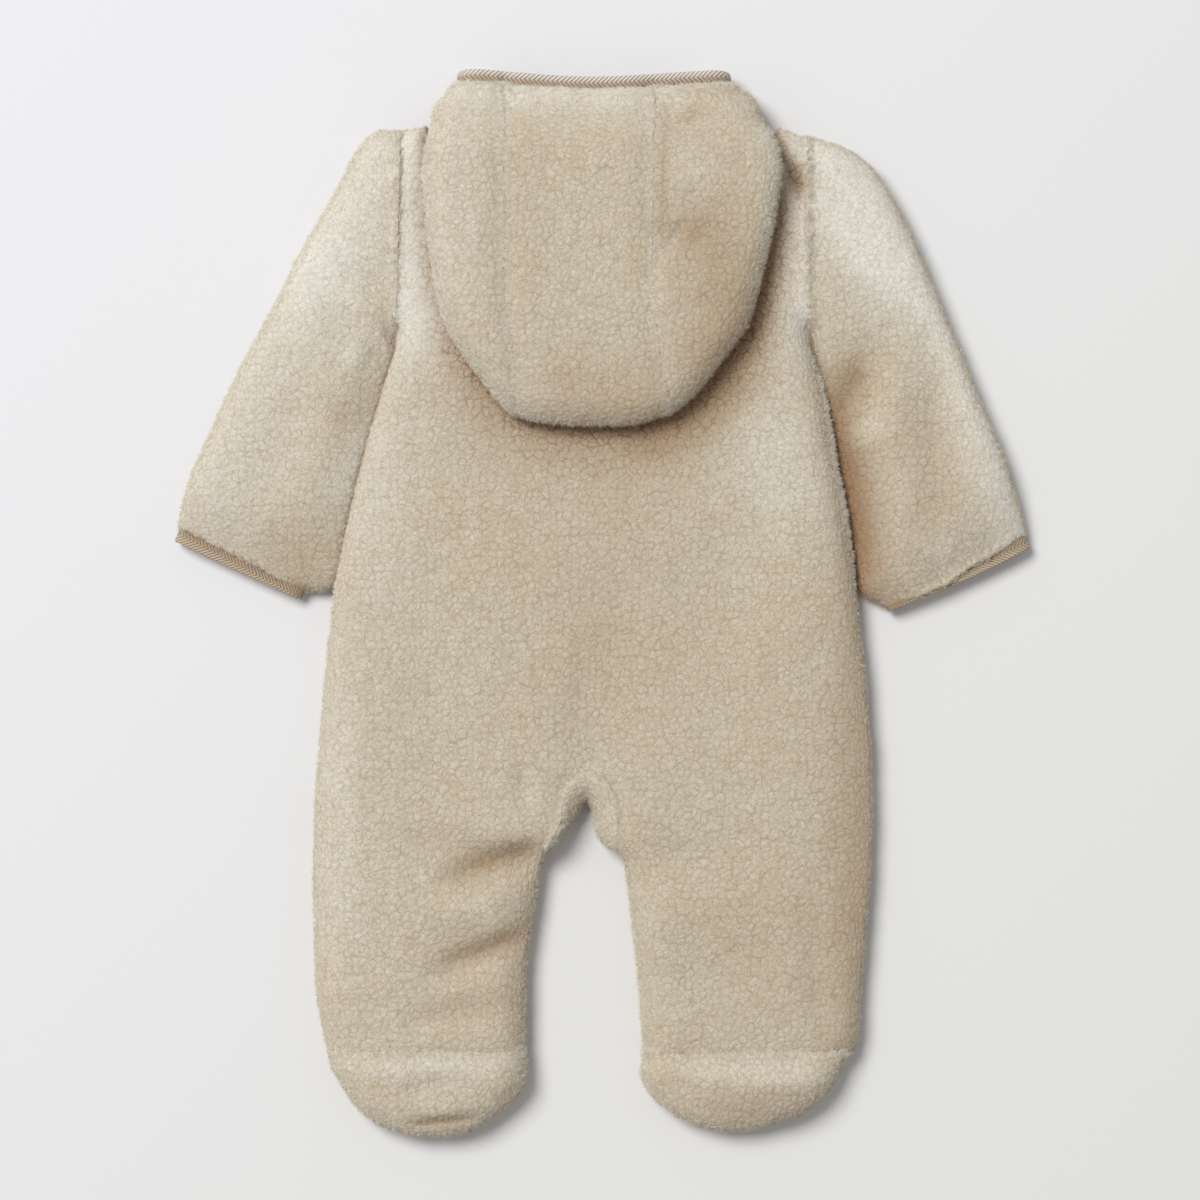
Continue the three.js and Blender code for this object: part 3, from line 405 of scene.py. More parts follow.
@dataclass(frozen=True)
class PileFinish:
    """Teddy pile: short fibres felted into nubs with thin crevices between them.

    Each bend has the size of its patches and how far it moves the nubs. A crack and a knot are
    measured in cells. The shade colours are painted shade: one along the patches, a deeper one at
    their middles and in hollows, one in the crevices and one in the cracks of hollows. The pale
    colour gives paler fibre tips and also painted light.
    """

    name: str = "teddy_pile"
    main: Colour = linear(204, 193, 171)
    warm: Colour = linear(201, 185, 157)
    pale: Colour = linear(237, 234, 224)
    shade: Colour = linear(172, 148, 118)
    crevice_shade: Colour = linear(158, 126, 94)
    deep_shade: Colour = linear(160, 121, 86)
    hollow_crack_shade: Colour = linear(104, 72, 46)
    nub: float = 4.4 * MM
    small: float = 2.3 * MM
    bends: tuple[tuple[float, float], ...] = ((16 * MM, 2.6 * MM), (2.6 * MM, 1.9 * MM))
    crack: float = 0.2
    knot: tuple[float, float] = (0.5, 0.85)
    fade: float = 6 * MM
    hair: float = 1.6 * MM
    swirl: float = 1.6
    patch: float = 9 * MM
    broad: float = 70 * MM
    painted_light_flattening: float = 0.45
    dome_rise: float = 0.16 * MM
    crack_drop: float = 0.06 * MM
    hair_rise: float = 0.34 * MM

    def place(self, tree: Tree, rest: Value) -> Value:
        """Bends the places at which the nubs are read, so that they wander.

        Args:
            tree: The tree.
            rest: The place on the smooth cloth.

        Returns:
            The bent place.
        """
        place = rest
        for size, reach in self.bends:
            wander = tree.vector("SUBTRACT", tree.noise(rest, size, 1.0, 1), (0.5, 0.5, 0.5))
            place = tree.vector("ADD", place, tree.vector("MULTIPLY", wander, (2 * reach,) * 3))
        return place

    def domes(self, tree: Tree, place: Value) -> Value:
        """Gives the nubs' round tops alone, which the mesh can follow.

        Args:
            tree: The tree.
            place: The bent place.

        Returns:
            0 between the nubs and 1 on top of them.
        """
        return tree.cells(place, self.nub, Feature.EDGE).ramp(0.0, 0.42)

    def cracks(self, tree: Tree, rest: Value, place: Value) -> Value:
        """Gives the thin crevices between nubs, which fade in and out.

        Args:
            tree: The tree.
            rest: The place on the smooth cloth.
            place: The bent place.

        Returns:
            1 in the deepest crack and 0 on the nubs.
        """
        fade = tree.noise(rest, self.fade, 3.0).ramp(0.4, 0.62)
        line = 1 - tree.cells(place, self.nub, Feature.EDGE).ramp(0.0, self.crack)
        fine = 1 - tree.cells(place, self.small, Feature.EDGE).ramp(0.0, self.crack)
        knots = tree.cells(place, self.nub, Feature.MIDDLE).ramp(*self.knot)
        return (line**1.5 * fade + fine * (0.6 - fade * 0.5) + knots * 0.4).at_most(1.0)

    def shader(self, tree: Tree) -> Sockets:
        """Works out what the pile's shader takes.

        Args:
            tree: The material's tree.

        Returns:
            The shader's values and links.
        """
        rest = tree.attribute(REST, "Vector")
        hollow = tree.attribute(HOLLOW_SHADE)
        painted_light_shade = tree.attribute(PAINTED_LIGHT_SHADE)
        place = self.place(tree, rest)
        # The patches paint light above 0, paler and with softer nubs, and paint shade below 0.
        painted_light, painted_shade = painted_light_shade.at_least(0.0), (painted_light_shade * -1.0).at_least(0.0)
        loft = 1 - self.painted_light_flattening * painted_light
        cracks = self.cracks(tree, rest, place) * loft
        domes = self.domes(tree, place)
        hairs = tree.noise(rest, self.hair, 4.0, swirl=self.swirl)
        broad = tree.noise(rest, self.broad, 2.0).ramp(0.36, 0.66)
        patch = tree.noise(rest, self.patch, 3.0).ramp(0.3, 0.75)
        # Paler fibre tips at random, with a faint highlight painted on the nub tops.
        tips_and_highlight = patch * 0.2 + domes * 0.1 + (hairs - 0.5) * 1.2
        base = tree.mixed(broad * 0.6, self.main, self.warm)
        # Painted light from the patches, over the pale tips.
        base = tree.mixed((tips_and_highlight + painted_light * 0.75).at_least(0.0), base, self.pale)
        # Painted shade from the patches, darker still at their middles.
        base = tree.mixed(painted_shade, base, self.shade)
        base = tree.mixed(painted_shade**4 * 0.4, base, self.deep_shade)
        # Painted shade between the hairs and in the crevices between nubs, stronger under the
        # patches' painted shade.
        base = tree.mixed(((0.48 - hairs) * 1.6).at_least(0.0), base, self.crevice_shade)
        base = tree.mixed(cracks * (0.34 + 0.4 * painted_shade), base, self.crevice_shade)
        # Painted shade in hollows, darkest in their cracks.
        base = tree.mixed(hollow, base, self.deep_shade)
        base = tree.mixed((cracks * hollow * 1.2).at_most(0.8), base, self.hollow_crack_shade)
        relief = domes * loft * self.dome_rise - cracks * self.crack_drop + hairs * self.hair_rise
        return {
            "Base Color": base,
            "Roughness": 0.95,
            "Specular IOR Level": 0.1,
            "Sheen Weight": 0.4,
            "Sheen Roughness": 0.5,
            "Sheen Tint": (*self.pale, 1.0),
            "Normal": tree.bump(relief),
        }

    def material(self) -> bpy.types.Material:
        """Makes the nubs' material."""
        material, tree = new_material(self.name)
        dress(tree, self.shader(tree))
        return material

    def fibres(self) -> bpy.types.Material:
        """Makes the loose fibres' material.

        Returns:
            The material, paler than the nubs' to paint in the light that loose fibres catch.
        """
        material, tree = new_material(f"{self.name}_fibres")
        hollow = tree.attribute(HOLLOW_SHADE)
        rest = tree.attribute(REST, "Vector")
        painted_light_shade = tree.attribute(PAINTED_LIGHT_SHADE)
        base = tree.mixed(tree.noise(rest, 0.9 * MM, 1.0).ramp(0.3, 0.7), self.warm, self.pale)
        # Painted shade from the patches and in hollows, as on the nubs.
        painted_shade = (painted_light_shade * -1.0).at_least(0.0)
        base = tree.mixed(painted_shade, base, self.shade)
        base = tree.mixed(painted_shade**4 * 0.4, base, self.deep_shade)
        base = tree.mixed(hollow, base, self.deep_shade)
        dress(tree, {"Base Color": base, "Roughness": 0.95, "Sheen Weight": 0.3})
        return material


@dataclass(frozen=True)
class JerseyFinish:
    """Fine knitted lining."""

    name: str = "jersey_lining"
    main: Colour = linear(214, 203, 184)
    shade: Colour = linear(176, 158, 134)
    rib: float = 1.1 * MM
    depth: float = 0.25 * MM

    def material(self) -> bpy.types.Material:
        """Makes the material.

        Returns:
            The material.
        """
        material, tree = new_material(self.name)
        across, along = tree.flat_parts(tree.attribute(REST, "Vector"))
        lean = ((along / (self.rib * 0.8)).fraction() - 0.5).size() * 0.5
        wale = (((across / self.rib) + lean).fraction() - 0.5).size() * 2
        base = tree.mixed(wale * 0.5, self.main, self.shade)
        bump = tree.bump((1 - wale) * self.depth)
        dress(tree, {"Base Color": base, "Roughness": 0.85, "Sheen Weight": 0.1, "Normal": bump})
        return material


@dataclass(frozen=True)
class TwillFinish:
    """Folded chevron twill tape: ribs that lean one way above the fold and back below it."""

    name: str
    main: Colour
    pale: Colour
    shade: Colour
    rib: float = 2.65 * MM
    groove: float = 0.75
    lean: float = 1.0
    middle: float = 4.2 * MM
    rib_rise: float = 0.35 * MM
    thread_rise: float = 0.12 * MM

    def material(self) -> bpy.types.Material:
        """Makes the material.

        Returns:
            The material.
        """
        material, tree = new_material(self.name)
        along = tree.attribute(ALONG)
        across = tree.attribute(ACROSS)
        rest = tree.attribute(REST, "Vector")
        off = (across - self.middle).size()
        wobble = tree.noise(rest, 6 * MM, 2.0) * (0.5 * MM)
        phase = (along - off * self.lean + wobble) / self.rib
        rib = (phase.fraction() - 0.5).size() * 2
        groove = rib.ramp(0.5, 0.95)
        thread = tree.noise(rest, 0.7 * MM, 2.0)
        light = across.ramp(self.middle - 1.5 * MM, self.middle + 2.5 * MM)
        base = tree.mixed(light * 0.8, self.main, self.pale)
        base = tree.mixed(groove * self.groove, base, self.shade)
        base = tree.mixed((thread - 0.3).at_least(0.0) * 0.3, base, self.shade)
        bump = tree.bump((1 - groove) * self.rib_rise + thread * self.thread_rise)
        dress(tree, {"Base Color": base, "Roughness": 0.8, "Sheen Weight": 0.15, "Normal": bump})
        return material


@dataclass(frozen=True)
class WovenFinish:
    """Plain woven zip tape."""

    name: str = "zip_tape_weave"
    main: Colour = linear(203, 187, 164)
    shade: Colour = linear(168, 148, 122)
    thread: float = 0.7 * MM
    depth: float = 0.15 * MM

    def material(self) -> bpy.types.Material:
        """Makes the material.

        Returns:
            The material.
        """
        material, tree = new_material(self.name)
        across, along = tree.flat_parts(tree.position())
        warp = ((across / self.thread).fraction() - 0.5).size() * 2
        weft = ((along / self.thread).fraction() - 0.5).size() * 2
        weave = warp.at_most(weft)
        base = tree.mixed(weave * 0.6, self.main, self.shade)
        bump = tree.bump((1 - weave) * self.depth)
        dress(tree, {"Base Color": base, "Roughness": 0.85, "Normal": bump})
        return material


@dataclass(frozen=True)
class MetalFinish:
    """Satin zip metal with fine wear."""

    name: str = "zip_metal_satin"
    main: Colour = linear(185, 180, 170)
    worn: Colour = linear(150, 142, 128)

    def material(self) -> bpy.types.Material:
        """Makes the material.

        Returns:
            The material.
        """
        material, tree = new_material(self.name)
        wear = tree.noise(tree.position(), 3 * MM, 4.0).ramp(0.4, 0.7)
        base = tree.mixed(wear * 0.5, self.main, self.worn)
        rough = 0.28 + wear * 0.2
        dress(tree, {"Base Color": base, "Roughness": rough, "Metallic": 0.9})
        return material


# ---------------------------------------------------------------------------------------------
# Cloth meshes

COARSE = 14 * MM  # the longest edge of a face that can't be seen
WELD = 0.02 * MM  # points nearer than this are one
SMOOTH_ROUNDS = 6
SMOOTH_SHARE = 0.5  # how far a round moves each point towards its neighbours' middle
LIFT = 0.05 * MM  # how far above a face its rays start
GRAZING = 0.08  # a face isn't seen along a ray as level with it as this
RAY_HEIGHTS = (55, 30, 12, 3)  # degrees above the floor
RAY_STEP = 36  # degrees round from one ray to the next
LEVEL_FACE = 0.5  # the least slope in z of a lining's normal
LINING_REACH = 25 * MM  # how far off the other wall of a hollow may lie
LIGHT_TURN = math.radians(138)  # where the light comes from, round from x


def unit(vectors: np.ndarray) -> np.ndarray:
    """Gives rows their direction alone.

    Args:
        vectors: Rows of x, y and z.

    Returns:
        Rows of length 1.
    """
    return vectors / np.maximum(np.linalg.norm(vectors, axis=1, keepdims=True), 1e-12)


@dataclass
class Skin:
    """A closed triangle mesh held as arrays while it is refined."""

    points: np.ndarray
    faces: np.ndarray
    normals: np.ndarray = field(default_factory=lambda: np.zeros((0, 3)))
    fine: np.ndarray = field(default_factory=lambda: np.zeros(0, bool))
    lining: np.ndarray = field(default_factory=lambda: np.zeros(0, bool))
    wall: np.ndarray = field(default_factory=lambda: np.zeros(0, bool))
    rest: np.ndarray = field(default_factory=lambda: np.zeros((0, 3)))
    roundest: float = 0.3

    @classmethod
    def of(cls, solid: bpy.types.Object) -> Skin:
        """Reads a solid, with its doubled points made one.

        Args:
            solid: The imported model's object.

        Returns:
            The skin.
        """
        mesh = solid.data
        mesh.calc_loop_triangles()
        points = np.zeros(len(mesh.vertices) * 3, np.float64)
        mesh.vertices.foreach_get("co", points)
        corners = np.zeros(len(mesh.loop_triangles) * 3, np.int64)
        mesh.loop_triangles.foreach_get("vertices", corners)
        keys = np.round(points.reshape(-1, 3) / WELD).astype(np.int64)
        _, first, where = np.unique(keys, axis=0, return_index=True, return_inverse=True)
        faces = where.reshape(-1)[corners].reshape(-1, 3)
        whole = (
            (faces[:, 0] != faces[:, 1])
            & (faces[:, 1] != faces[:, 2])
            & (faces[:, 2] != faces[:, 0])
        )
        skin = cls(points.reshape(-1, 3)[first], faces[whole])
        skin.fine = np.zeros(len(skin.faces), bool)
        skin.lining = np.zeros(len(skin.faces), bool)
        skin.wall = np.zeros(len(skin.faces), bool)
        skin.normals = skin.point_normals()
        return skin

    def face_normals(self) -> np.ndarray:
        """Gives each face its normal, as long as twice its area."""
        a, b, c = (self.points[self.faces[:, i]] for i in range(3))
        return np.cross(b - a, c - a)

    def centres(self) -> np.ndarray:
        """Gives each face its middle."""
        return self.points[self.faces].mean(axis=1)

    def point_normals(self) -> np.ndarray:
        """Gives each point the mean normal of its faces, weighted by their angles there.

        The walls inside a seam count only where a point has no other face.

        Returns:
            One unit normal for each point.
        """
        total = np.zeros_like(self.points)
        flat = unit(self.face_normals()) * np.where(self.wall, 1e-5, 1.0)[:, None]
        for i in range(3):
            here = self.points[self.faces[:, i]]
            ahead = unit(self.points[self.faces[:, (i + 1) % 3]] - here)
            behind = unit(self.points[self.faces[:, (i + 2) % 3]] - here)
            angle = np.arccos(np.clip((ahead * behind).sum(axis=1), -1, 1))
            for k in range(3):
                total[:, k] += np.bincount(
                    self.faces[:, i], flat[:, k] * angle, minlength=len(self.points)
                )
        return unit(total)

    def split(self, longest: float) -> int:
        """Cuts each edge that is too long at a point of the curved surface between its ends.

        Args:
            longest: The longest edge of a fine face, in metres.

        Returns:
            How many edges were cut.
        """
        count = len(self.points)
        start, end = self.faces, np.roll(self.faces, -1, axis=1)
        low, high = np.minimum(start, end), np.maximum(start, end)
        keys, where = np.unique((low * count + high).reshape(-1), return_inverse=True)
        where = where.reshape(-1, 3)
        a, b = keys // count, keys % count
        along = self.points[b] - self.points[a]
        wanted = np.zeros(len(keys), bool)
        wanted[where[self.fine].reshape(-1)] = True
        cut = np.linalg.norm(along, axis=1) > np.where(wanted, longest, COARSE)
        if not cut.any():
            return 0
        number = np.full(len(keys), -1)
        number[cut] = count + np.arange(cut.sum())
        a, b, along = a[cut], b[cut], along[cut]
        na, nb = self.normals[a], self.normals[b]
        round_edge = (na * nb).sum(axis=1, keepdims=True) > self.roundest
        rise_a = np.where(round_edge, (along * na).sum(axis=1, keepdims=True), 0)
        rise_b = np.where(round_edge, -(along * nb).sum(axis=1, keepdims=True), 0)
        middle = (self.points[a] + self.points[b]) / 2 - (rise_a * na + rise_b * nb) / 8
        turn = 2 * (rise_a - rise_b) / np.maximum((along**2).sum(axis=1, keepdims=True), 1e-18)
        normal = unit(na + nb - turn * along)
        self.points = np.vstack([self.points, middle])
        self.normals = np.vstack([self.normals, normal])
        self._divide(number[where])
        return int(cut.sum())

    def _divide(self, middles: np.ndarray) -> None:
        """Replaces faces by the smaller ones that their cut edges give.

        Args:
            middles: The new point on each edge of each face, or -1.
        """
        marks = middles >= 0
        faces = self.faces
        made, origin = [], []

        def add(rows: np.ndarray, *triangles: np.ndarray) -> None:
            """Keeps new faces and the numbers of those that they come from."""
            for triangle in triangles:
                made.append(triangle)
                origin.append(rows)

        total = marks.sum(axis=1)
        rows = np.flatnonzero(total == 0)
        add(rows, faces[rows])
        rows = np.flatnonzero(total == 3)
        a, b, c = faces[rows].T
        p, q, r = middles[rows].T
        corners = ((a, p, r), (p, b, q), (r, q, c), (p, q, r))
        add(rows, *(np.stack(t, axis=1) for t in corners))
        for turn in range(3):
            order = [(turn + i) % 3 for i in range(3)]
            rows = np.flatnonzero((total == 1) & marks[:, turn])
            a, b, c = faces[rows][:, order].T
            p = middles[rows, turn]
            add(rows, np.stack((a, p, c), axis=1), np.stack((p, b, c), axis=1))
            rows = np.flatnonzero((total == 2) & ~marks[:, order[2]])
            a, b, c = faces[rows][:, order].T
            p, q = middles[rows, order[0]], middles[rows, order[1]]
            add(rows, np.stack((p, b, q), axis=1))
            straight = np.linalg.norm(self.points[a] - self.points[q], axis=1)
            other = np.linalg.norm(self.points[p] - self.points[c], axis=1)
            near = (straight < other)[:, None]
            add(
                rows,
                np.where(near, np.stack((a, p, q), axis=1), np.stack((a, p, c), axis=1)),
                np.where(near, np.stack((a, q, c), axis=1), np.stack((p, q, c), axis=1)),
            )
        self.faces = np.vstack(made)
        rows = np.concatenate(origin)
        self.fine, self.lining, self.wall = self.fine[rows], self.lining[rows], self.wall[rows]

    def neighbours(self) -> tuple[np.ndarray, np.ndarray]:
        """Lists each pair of joined points in both directions.

        Returns:
            The points, and the points that they are joined to.
        """
        start = self.faces.reshape(-1)
        end = np.roll(self.faces, -1, axis=1).reshape(-1)
        return np.concatenate([start, end]), np.concatenate([end, start])

    def smooth(self, rounds: int, share: float, held: np.ndarray) -> None:
        """Evens the surface out.

        Args:
            rounds: How many times.
            share: How far each point goes towards its neighbours' middle.
            held: The points that stay.
        """
        here, there = self.neighbours()
        degree = np.bincount(here, minlength=len(self.points))[:, None]
        move = np.where(held, 0.0, share)[:, None]
        for _ in range(rounds):
            total = np.stack(
                [
                    np.bincount(here, self.points[there, k], minlength=len(self.points))
                    for k in range(3)
                ],
                axis=1,
            )
            self.points += move * (total / degree - self.points)

    def unroll(self, top: float) -> None:
        """Lays the cloth's places out flat, its sides beyond its top, as the nubs' own places.

        Args:
            top: The height of its top.
        """
        level = np.hypot(self.normals[:, 0], self.normals[:, 1])[:, None]
        out = self.normals[:, :2] / np.maximum(level, 1e-6) * np.minimum(level / 0.35, 1)
        drop = np.maximum(top - self.points[:, 2:], 0)
        flat = self.points[:, :2] + out * drop * 0.8
        self.rest = np.hstack([flat, np.zeros((len(flat), 1))])

    def raised(self) -> np.ndarray:
        """Marks the points of fine pile faces alone.

        Returns:
            One mark for each point.
        """
        pile = np.zeros(len(self.points), bool)
        pile[self.faces[self.fine & ~self.lining].reshape(-1)] = True
        return pile

    def build(
        self,
        name: str,
        materials: list[bpy.types.Material],
        slots: np.ndarray | None = None,
    ) -> bpy.types.Object:
        """Makes the Blender object.

        Args:
            name: Its name.
            materials: Its materials.
            slots: Each face's material, by number.

        Returns:
            The object, smooth shaded but for its seam walls.
        """
        mesh = bpy.data.meshes.new(name)
        count = len(self.faces)
        mesh.vertices.add(len(self.points))
        mesh.vertices.foreach_set("co", self.points.astype(np.float32).reshape(-1))
        mesh.loops.add(count * 3)
        mesh.loops.foreach_set("vertex_index", self.faces.astype(np.int32).reshape(-1))
        mesh.polygons.add(count)
        mesh.polygons.foreach_set("loop_start", np.arange(0, count * 3, 3, dtype=np.int32))
        for material in materials:
            mesh.materials.append(material)
        if slots is not None:
            mesh.polygons.foreach_set("material_index", slots.astype(np.int32))
        mesh.update(calc_edges=True)
        mesh.shade_smooth()
        if self.wall.any():
            mesh.polygons.foreach_set("use_smooth", ~self.wall)
        made = bpy.data.objects.new(name, mesh)
        bpy.context.scene.collection.objects.link(made)
        return made


def keep(piece: bpy.types.Object, marks: dict[str, np.ndarray]) -> None:
    """Stores values on a piece's points.

    Args:
        piece: The piece.
        marks: By each attribute's name, one number or one row of three for each point.
    """
    for name, values in marks.items():
        kind, word = ("FLOAT", "value") if values.ndim == 1 else ("FLOAT_VECTOR", "vector")
        stored = piece.data.attributes.new(name, kind, "POINT")
        stored.data.foreach_set(word, values.astype(np.float32).reshape(-1))


def towards(turn: float, rise: float) -> Vector:
    """Gives a direction.

    Args:
        turn: Its angle round from x, in radians.
        rise: Its angle above the floor.

    Returns:
        The direction, of length 1.
    """
    flat = math.cos(rise)
    return Vector((flat * math.cos(turn), flat * math.sin(turn), math.sin(rise)))


class Views:
    """Finds which faces of the solids can be seen, and which are lining."""

    def __init__(self, skins: dict[str, Skin]) -> None:
        """Builds the search tree of all skins.

        Args:
            skins: The skins by their nodes' names.
        """
        points, faces, self.owner = [], [], []
        self.facing = []
        count = 0
        for name, skin in skins.items():
            points.extend(map(tuple, skin.points))
            faces.extend(map(tuple, skin.faces + count))
            self.owner.extend([name] * len(skin.faces))
            self.facing.append(unit(skin.face_normals()))
            count += len(skin.points)
        self.facing = np.vstack(self.facing)
        self.tree = BVHTree.FromPolygons(points, faces)
        self.open_trees = {}
        for name in skins:
            kept = [f for f, owner in zip(faces, self.owner) if self.stays(name, owner)]
            self.open_trees[name] = BVHTree.FromPolygons(points, kept)
        self.rays = [Vector((0, 0, 1))]
        for height in RAY_HEIGHTS:
            for turn in range(0, 360, RAY_STEP):
                self.rays.append(towards(math.radians(turn + height), math.radians(height)))

    @staticmethod
    def stays(name: str, other: str) -> bool:
        """Says whether another piece can hide this one, as a pressed sleeve can't hide a side."""
        return not (other.startswith("sleeve") and name.startswith(("back", "front")))

    def seen(self, name: str, skin: Skin) -> np.ndarray:
        """Finds the faces that a ray leaves freely.

        Args:
            name: The skin's node.
            skin: The skin.

        Returns:
            One mark for each face.
        """
        normals = unit(skin.face_normals())
        marks = np.zeros(len(skin.faces), bool)
        for i, (centre, normal) in enumerate(zip(skin.centres(), normals)):
            start, out = Vector(centre) + Vector(normal) * LIFT, Vector(normal)
            marks[i] = any(
                out.dot(ray) > GRAZING and self.open_trees[name].ray_cast(start, ray)[0] is None
                for ray in self.rays
            )
        return marks

    def linings(self, skin: Skin, group: set[str]) -> np.ndarray:
        """Finds the faces that look at the far wall of the same hollow.

        Args:
            skin: The skin.
            group: The nodes whose walls make the hollow.

        Returns:
            One mark for each face.
        """
        normals = unit(skin.face_normals())
        marks = np.zeros(len(skin.faces), bool)
        for i, (centre, normal) in enumerate(zip(skin.centres(), normals)):
            if abs(normal[2]) < LEVEL_FACE:
                continue
            start = Vector(centre) + Vector(normal) * LIFT
            hit = self.tree.ray_cast(start, Vector(normal), LINING_REACH)
            if hit[0] is None:
                continue
            marks[i] = self.owner[hit[2]] in group and normal @ self.facing[hit[2]] < 0
        return marks


@dataclass(frozen=True)
class Crease:
    """A soft trough in the cloth, or a ridge where its depth is below 0, all in millimetres.

    It runs along a line, left wide on one side of it and right wide on the other, and loses the
    fading share of its depth at its ends.
    """

    line: tuple[tuple[float, float], ...]
    depth: float
    left: float = 6.0
    right: float = 6.0
    fading: float = 0.65

    def fall(self, x: np.ndarray, y: np.ndarray) -> np.ndarray:
        """Gives how far the cloth falls.

        Args:
            x: The places' x.
            y: Their y.

        Returns:
            The fall at each place.
        """
        ends = [np.array(p, float) for p in self.line]
        lengths = [float(np.linalg.norm(b - a)) for a, b in zip(ends, ends[1:])]
        nearest = np.full(len(x), np.inf)
        run, side = np.zeros(len(x)), np.zeros(len(x))
        before = 0.0
        for a, b, length in zip(ends, ends[1:], lengths):
            step = (b - a) / length
            along = np.clip((x - a[0]) * step[0] + (y - a[1]) * step[1], 0, length)
            off_x, off_y = x - a[0] - along * step[0], y - a[1] - along * step[1]
            away = np.hypot(off_x, off_y)
            near = away < nearest
            nearest = np.where(near, away, nearest)
            run = np.where(near, before + along, run)
            side = np.where(near, step[0] * off_y - step[1] * off_x, side)
            before += length
        width = np.where(side > 0, self.left, self.right)
        taper = 1 - self.fading * np.abs(2 * run / before - 1) ** 3
        return self.depth * taper * np.exp(-((nearest / width) ** 2))


def falls(creases: tuple[Crease, ...], points: np.ndarray) -> np.ndarray:
    """Adds up what creases give.

    Args:
        creases: The creases.
        points: The places, in metres.

    Returns:
        The sum at each place, in the creases' own measure.
    """
    x, y = (points[:, :2] / MM).T
    return sum((crease.fall(x, y) for crease in creases), np.zeros(len(points)))


@dataclass(frozen=True)
class Shift:
    """Cloth that is pushed sideways along a line, above a height, in millimetres."""

    line: Crease
    way: tuple[float, float]
    above: float = 7.0
    fade: float = 3.0

    def move(self, points: np.ndarray) -> None:
        """Moves points in place.

        Args:
            points: The points, in metres.
        """
        x, y, z = (points / MM).T
        share = np.clip((z - self.above) / self.fade + 0.5, 0, 1) * self.line.fall(x, y)
        points[:, :2] += share[:, None] * np.array(self.way) * MM


LEFT_ARMHOLE = Crease(((-120, 262), (-120, 205), (-122, 162)), -1.6, 3.5, 3.5, 0)
RIGHT_ARMHOLE = Crease(((119, 262), (119, 205), (121, 166)), -1.6, 3.5, 3.5, 0)
SHOULDER_TUCK = Crease(((107, 256), (116, 236)), 5.0, 6, 6)
# Painted shade in the small hollow at the right shoulder.
SHOULDER_PAINTED_SHADE = Crease(((102, 247), (118, 246)), 0.95, 8, 8, 0)


@dataclass
class HollowShading:
    """Finds how far each place of the suit is shut in by what rises around it, most of all
    towards the light, which sets how strongly shade is painted into its colour.
    """

    cell: float = 2 * MM
    half: tuple[float, float] = (0.3, 0.36)
    reaches: tuple[float, ...] = (3 * MM, 6 * MM, 10 * MM, 16 * MM, 26 * MM, 42 * MM)
    turns: int = 12
    light_turn: float = LIGHT_TURN
    light_share: float = 1.6
    sky_share: float = 0.6
    least: float = 0.05
    gain: float = 1.5
    most: float = 0.95
    heights: np.ndarray = field(default_factory=lambda: np.zeros((0, 0)))

    def survey(self, skins: list[Skin]) -> None:
        """Takes the highest cloth over each cell.

        Args:
            skins: All the cloth.
        """
        shape = [int(2 * side / self.cell) for side in self.half]
        self.heights = np.zeros(shape)
        for skin in skins:
            places = np.vstack([skin.points, skin.centres()])
            i, j = self._cells(places[:, 0], places[:, 1])
            np.maximum.at(self.heights, (i, j), places[:, 2])

    def _cells(self, x: np.ndarray, y: np.ndarray) -> tuple[np.ndarray, np.ndarray]:
        """Finds the cells that places lie in."""
        i = np.clip(((x + self.half[0]) / self.cell).astype(int), 0, len(self.heights) - 1)
        j = np.clip(((y + self.half[1]) / self.cell).astype(int), 0, self.heights.shape[1] - 1)
        return i, j

    def at(self, points: np.ndarray, normals: np.ndarray) -> np.ndarray:
        """Gives how shut in places are, most of all from the light.

        Args:
            points: The places.
            normals: Their normals.

        Returns:
            0 in the open and nearly 1 far down in a hollow.
        """
        total, weights = np.zeros(len(points)), np.full(len(points), 1e-3)
        for turn in np.arange(self.turns) * 2 * math.pi / self.turns:
            way = np.array([math.cos(turn), math.sin(turn)])
            lit = 1 + self.light_share * max(0.0, math.cos(turn - self.light_turn))
            weight = lit * np.clip(self.sky_share * normals[:, 2] + normals[:, :2] @ way, 0, 1)
            rise = np.zeros(len(points))
            for reach in self.reaches:
                x, y = (points[:, :2] + reach * way).T
                rise = np.maximum(rise, (self.heights[self._cells(x, y)] - points[:, 2]) / reach)
            total += weight * rise**2 / (1 + rise**2)
            weights += weight
        return np.clip((total / weights - self.least) * self.gain, 0, self.most)


@dataclass(frozen=True)
class Reading:
    """What the finish's own pattern gives at a mesh's points."""

    domes: np.ndarray
    broad: np.ndarray


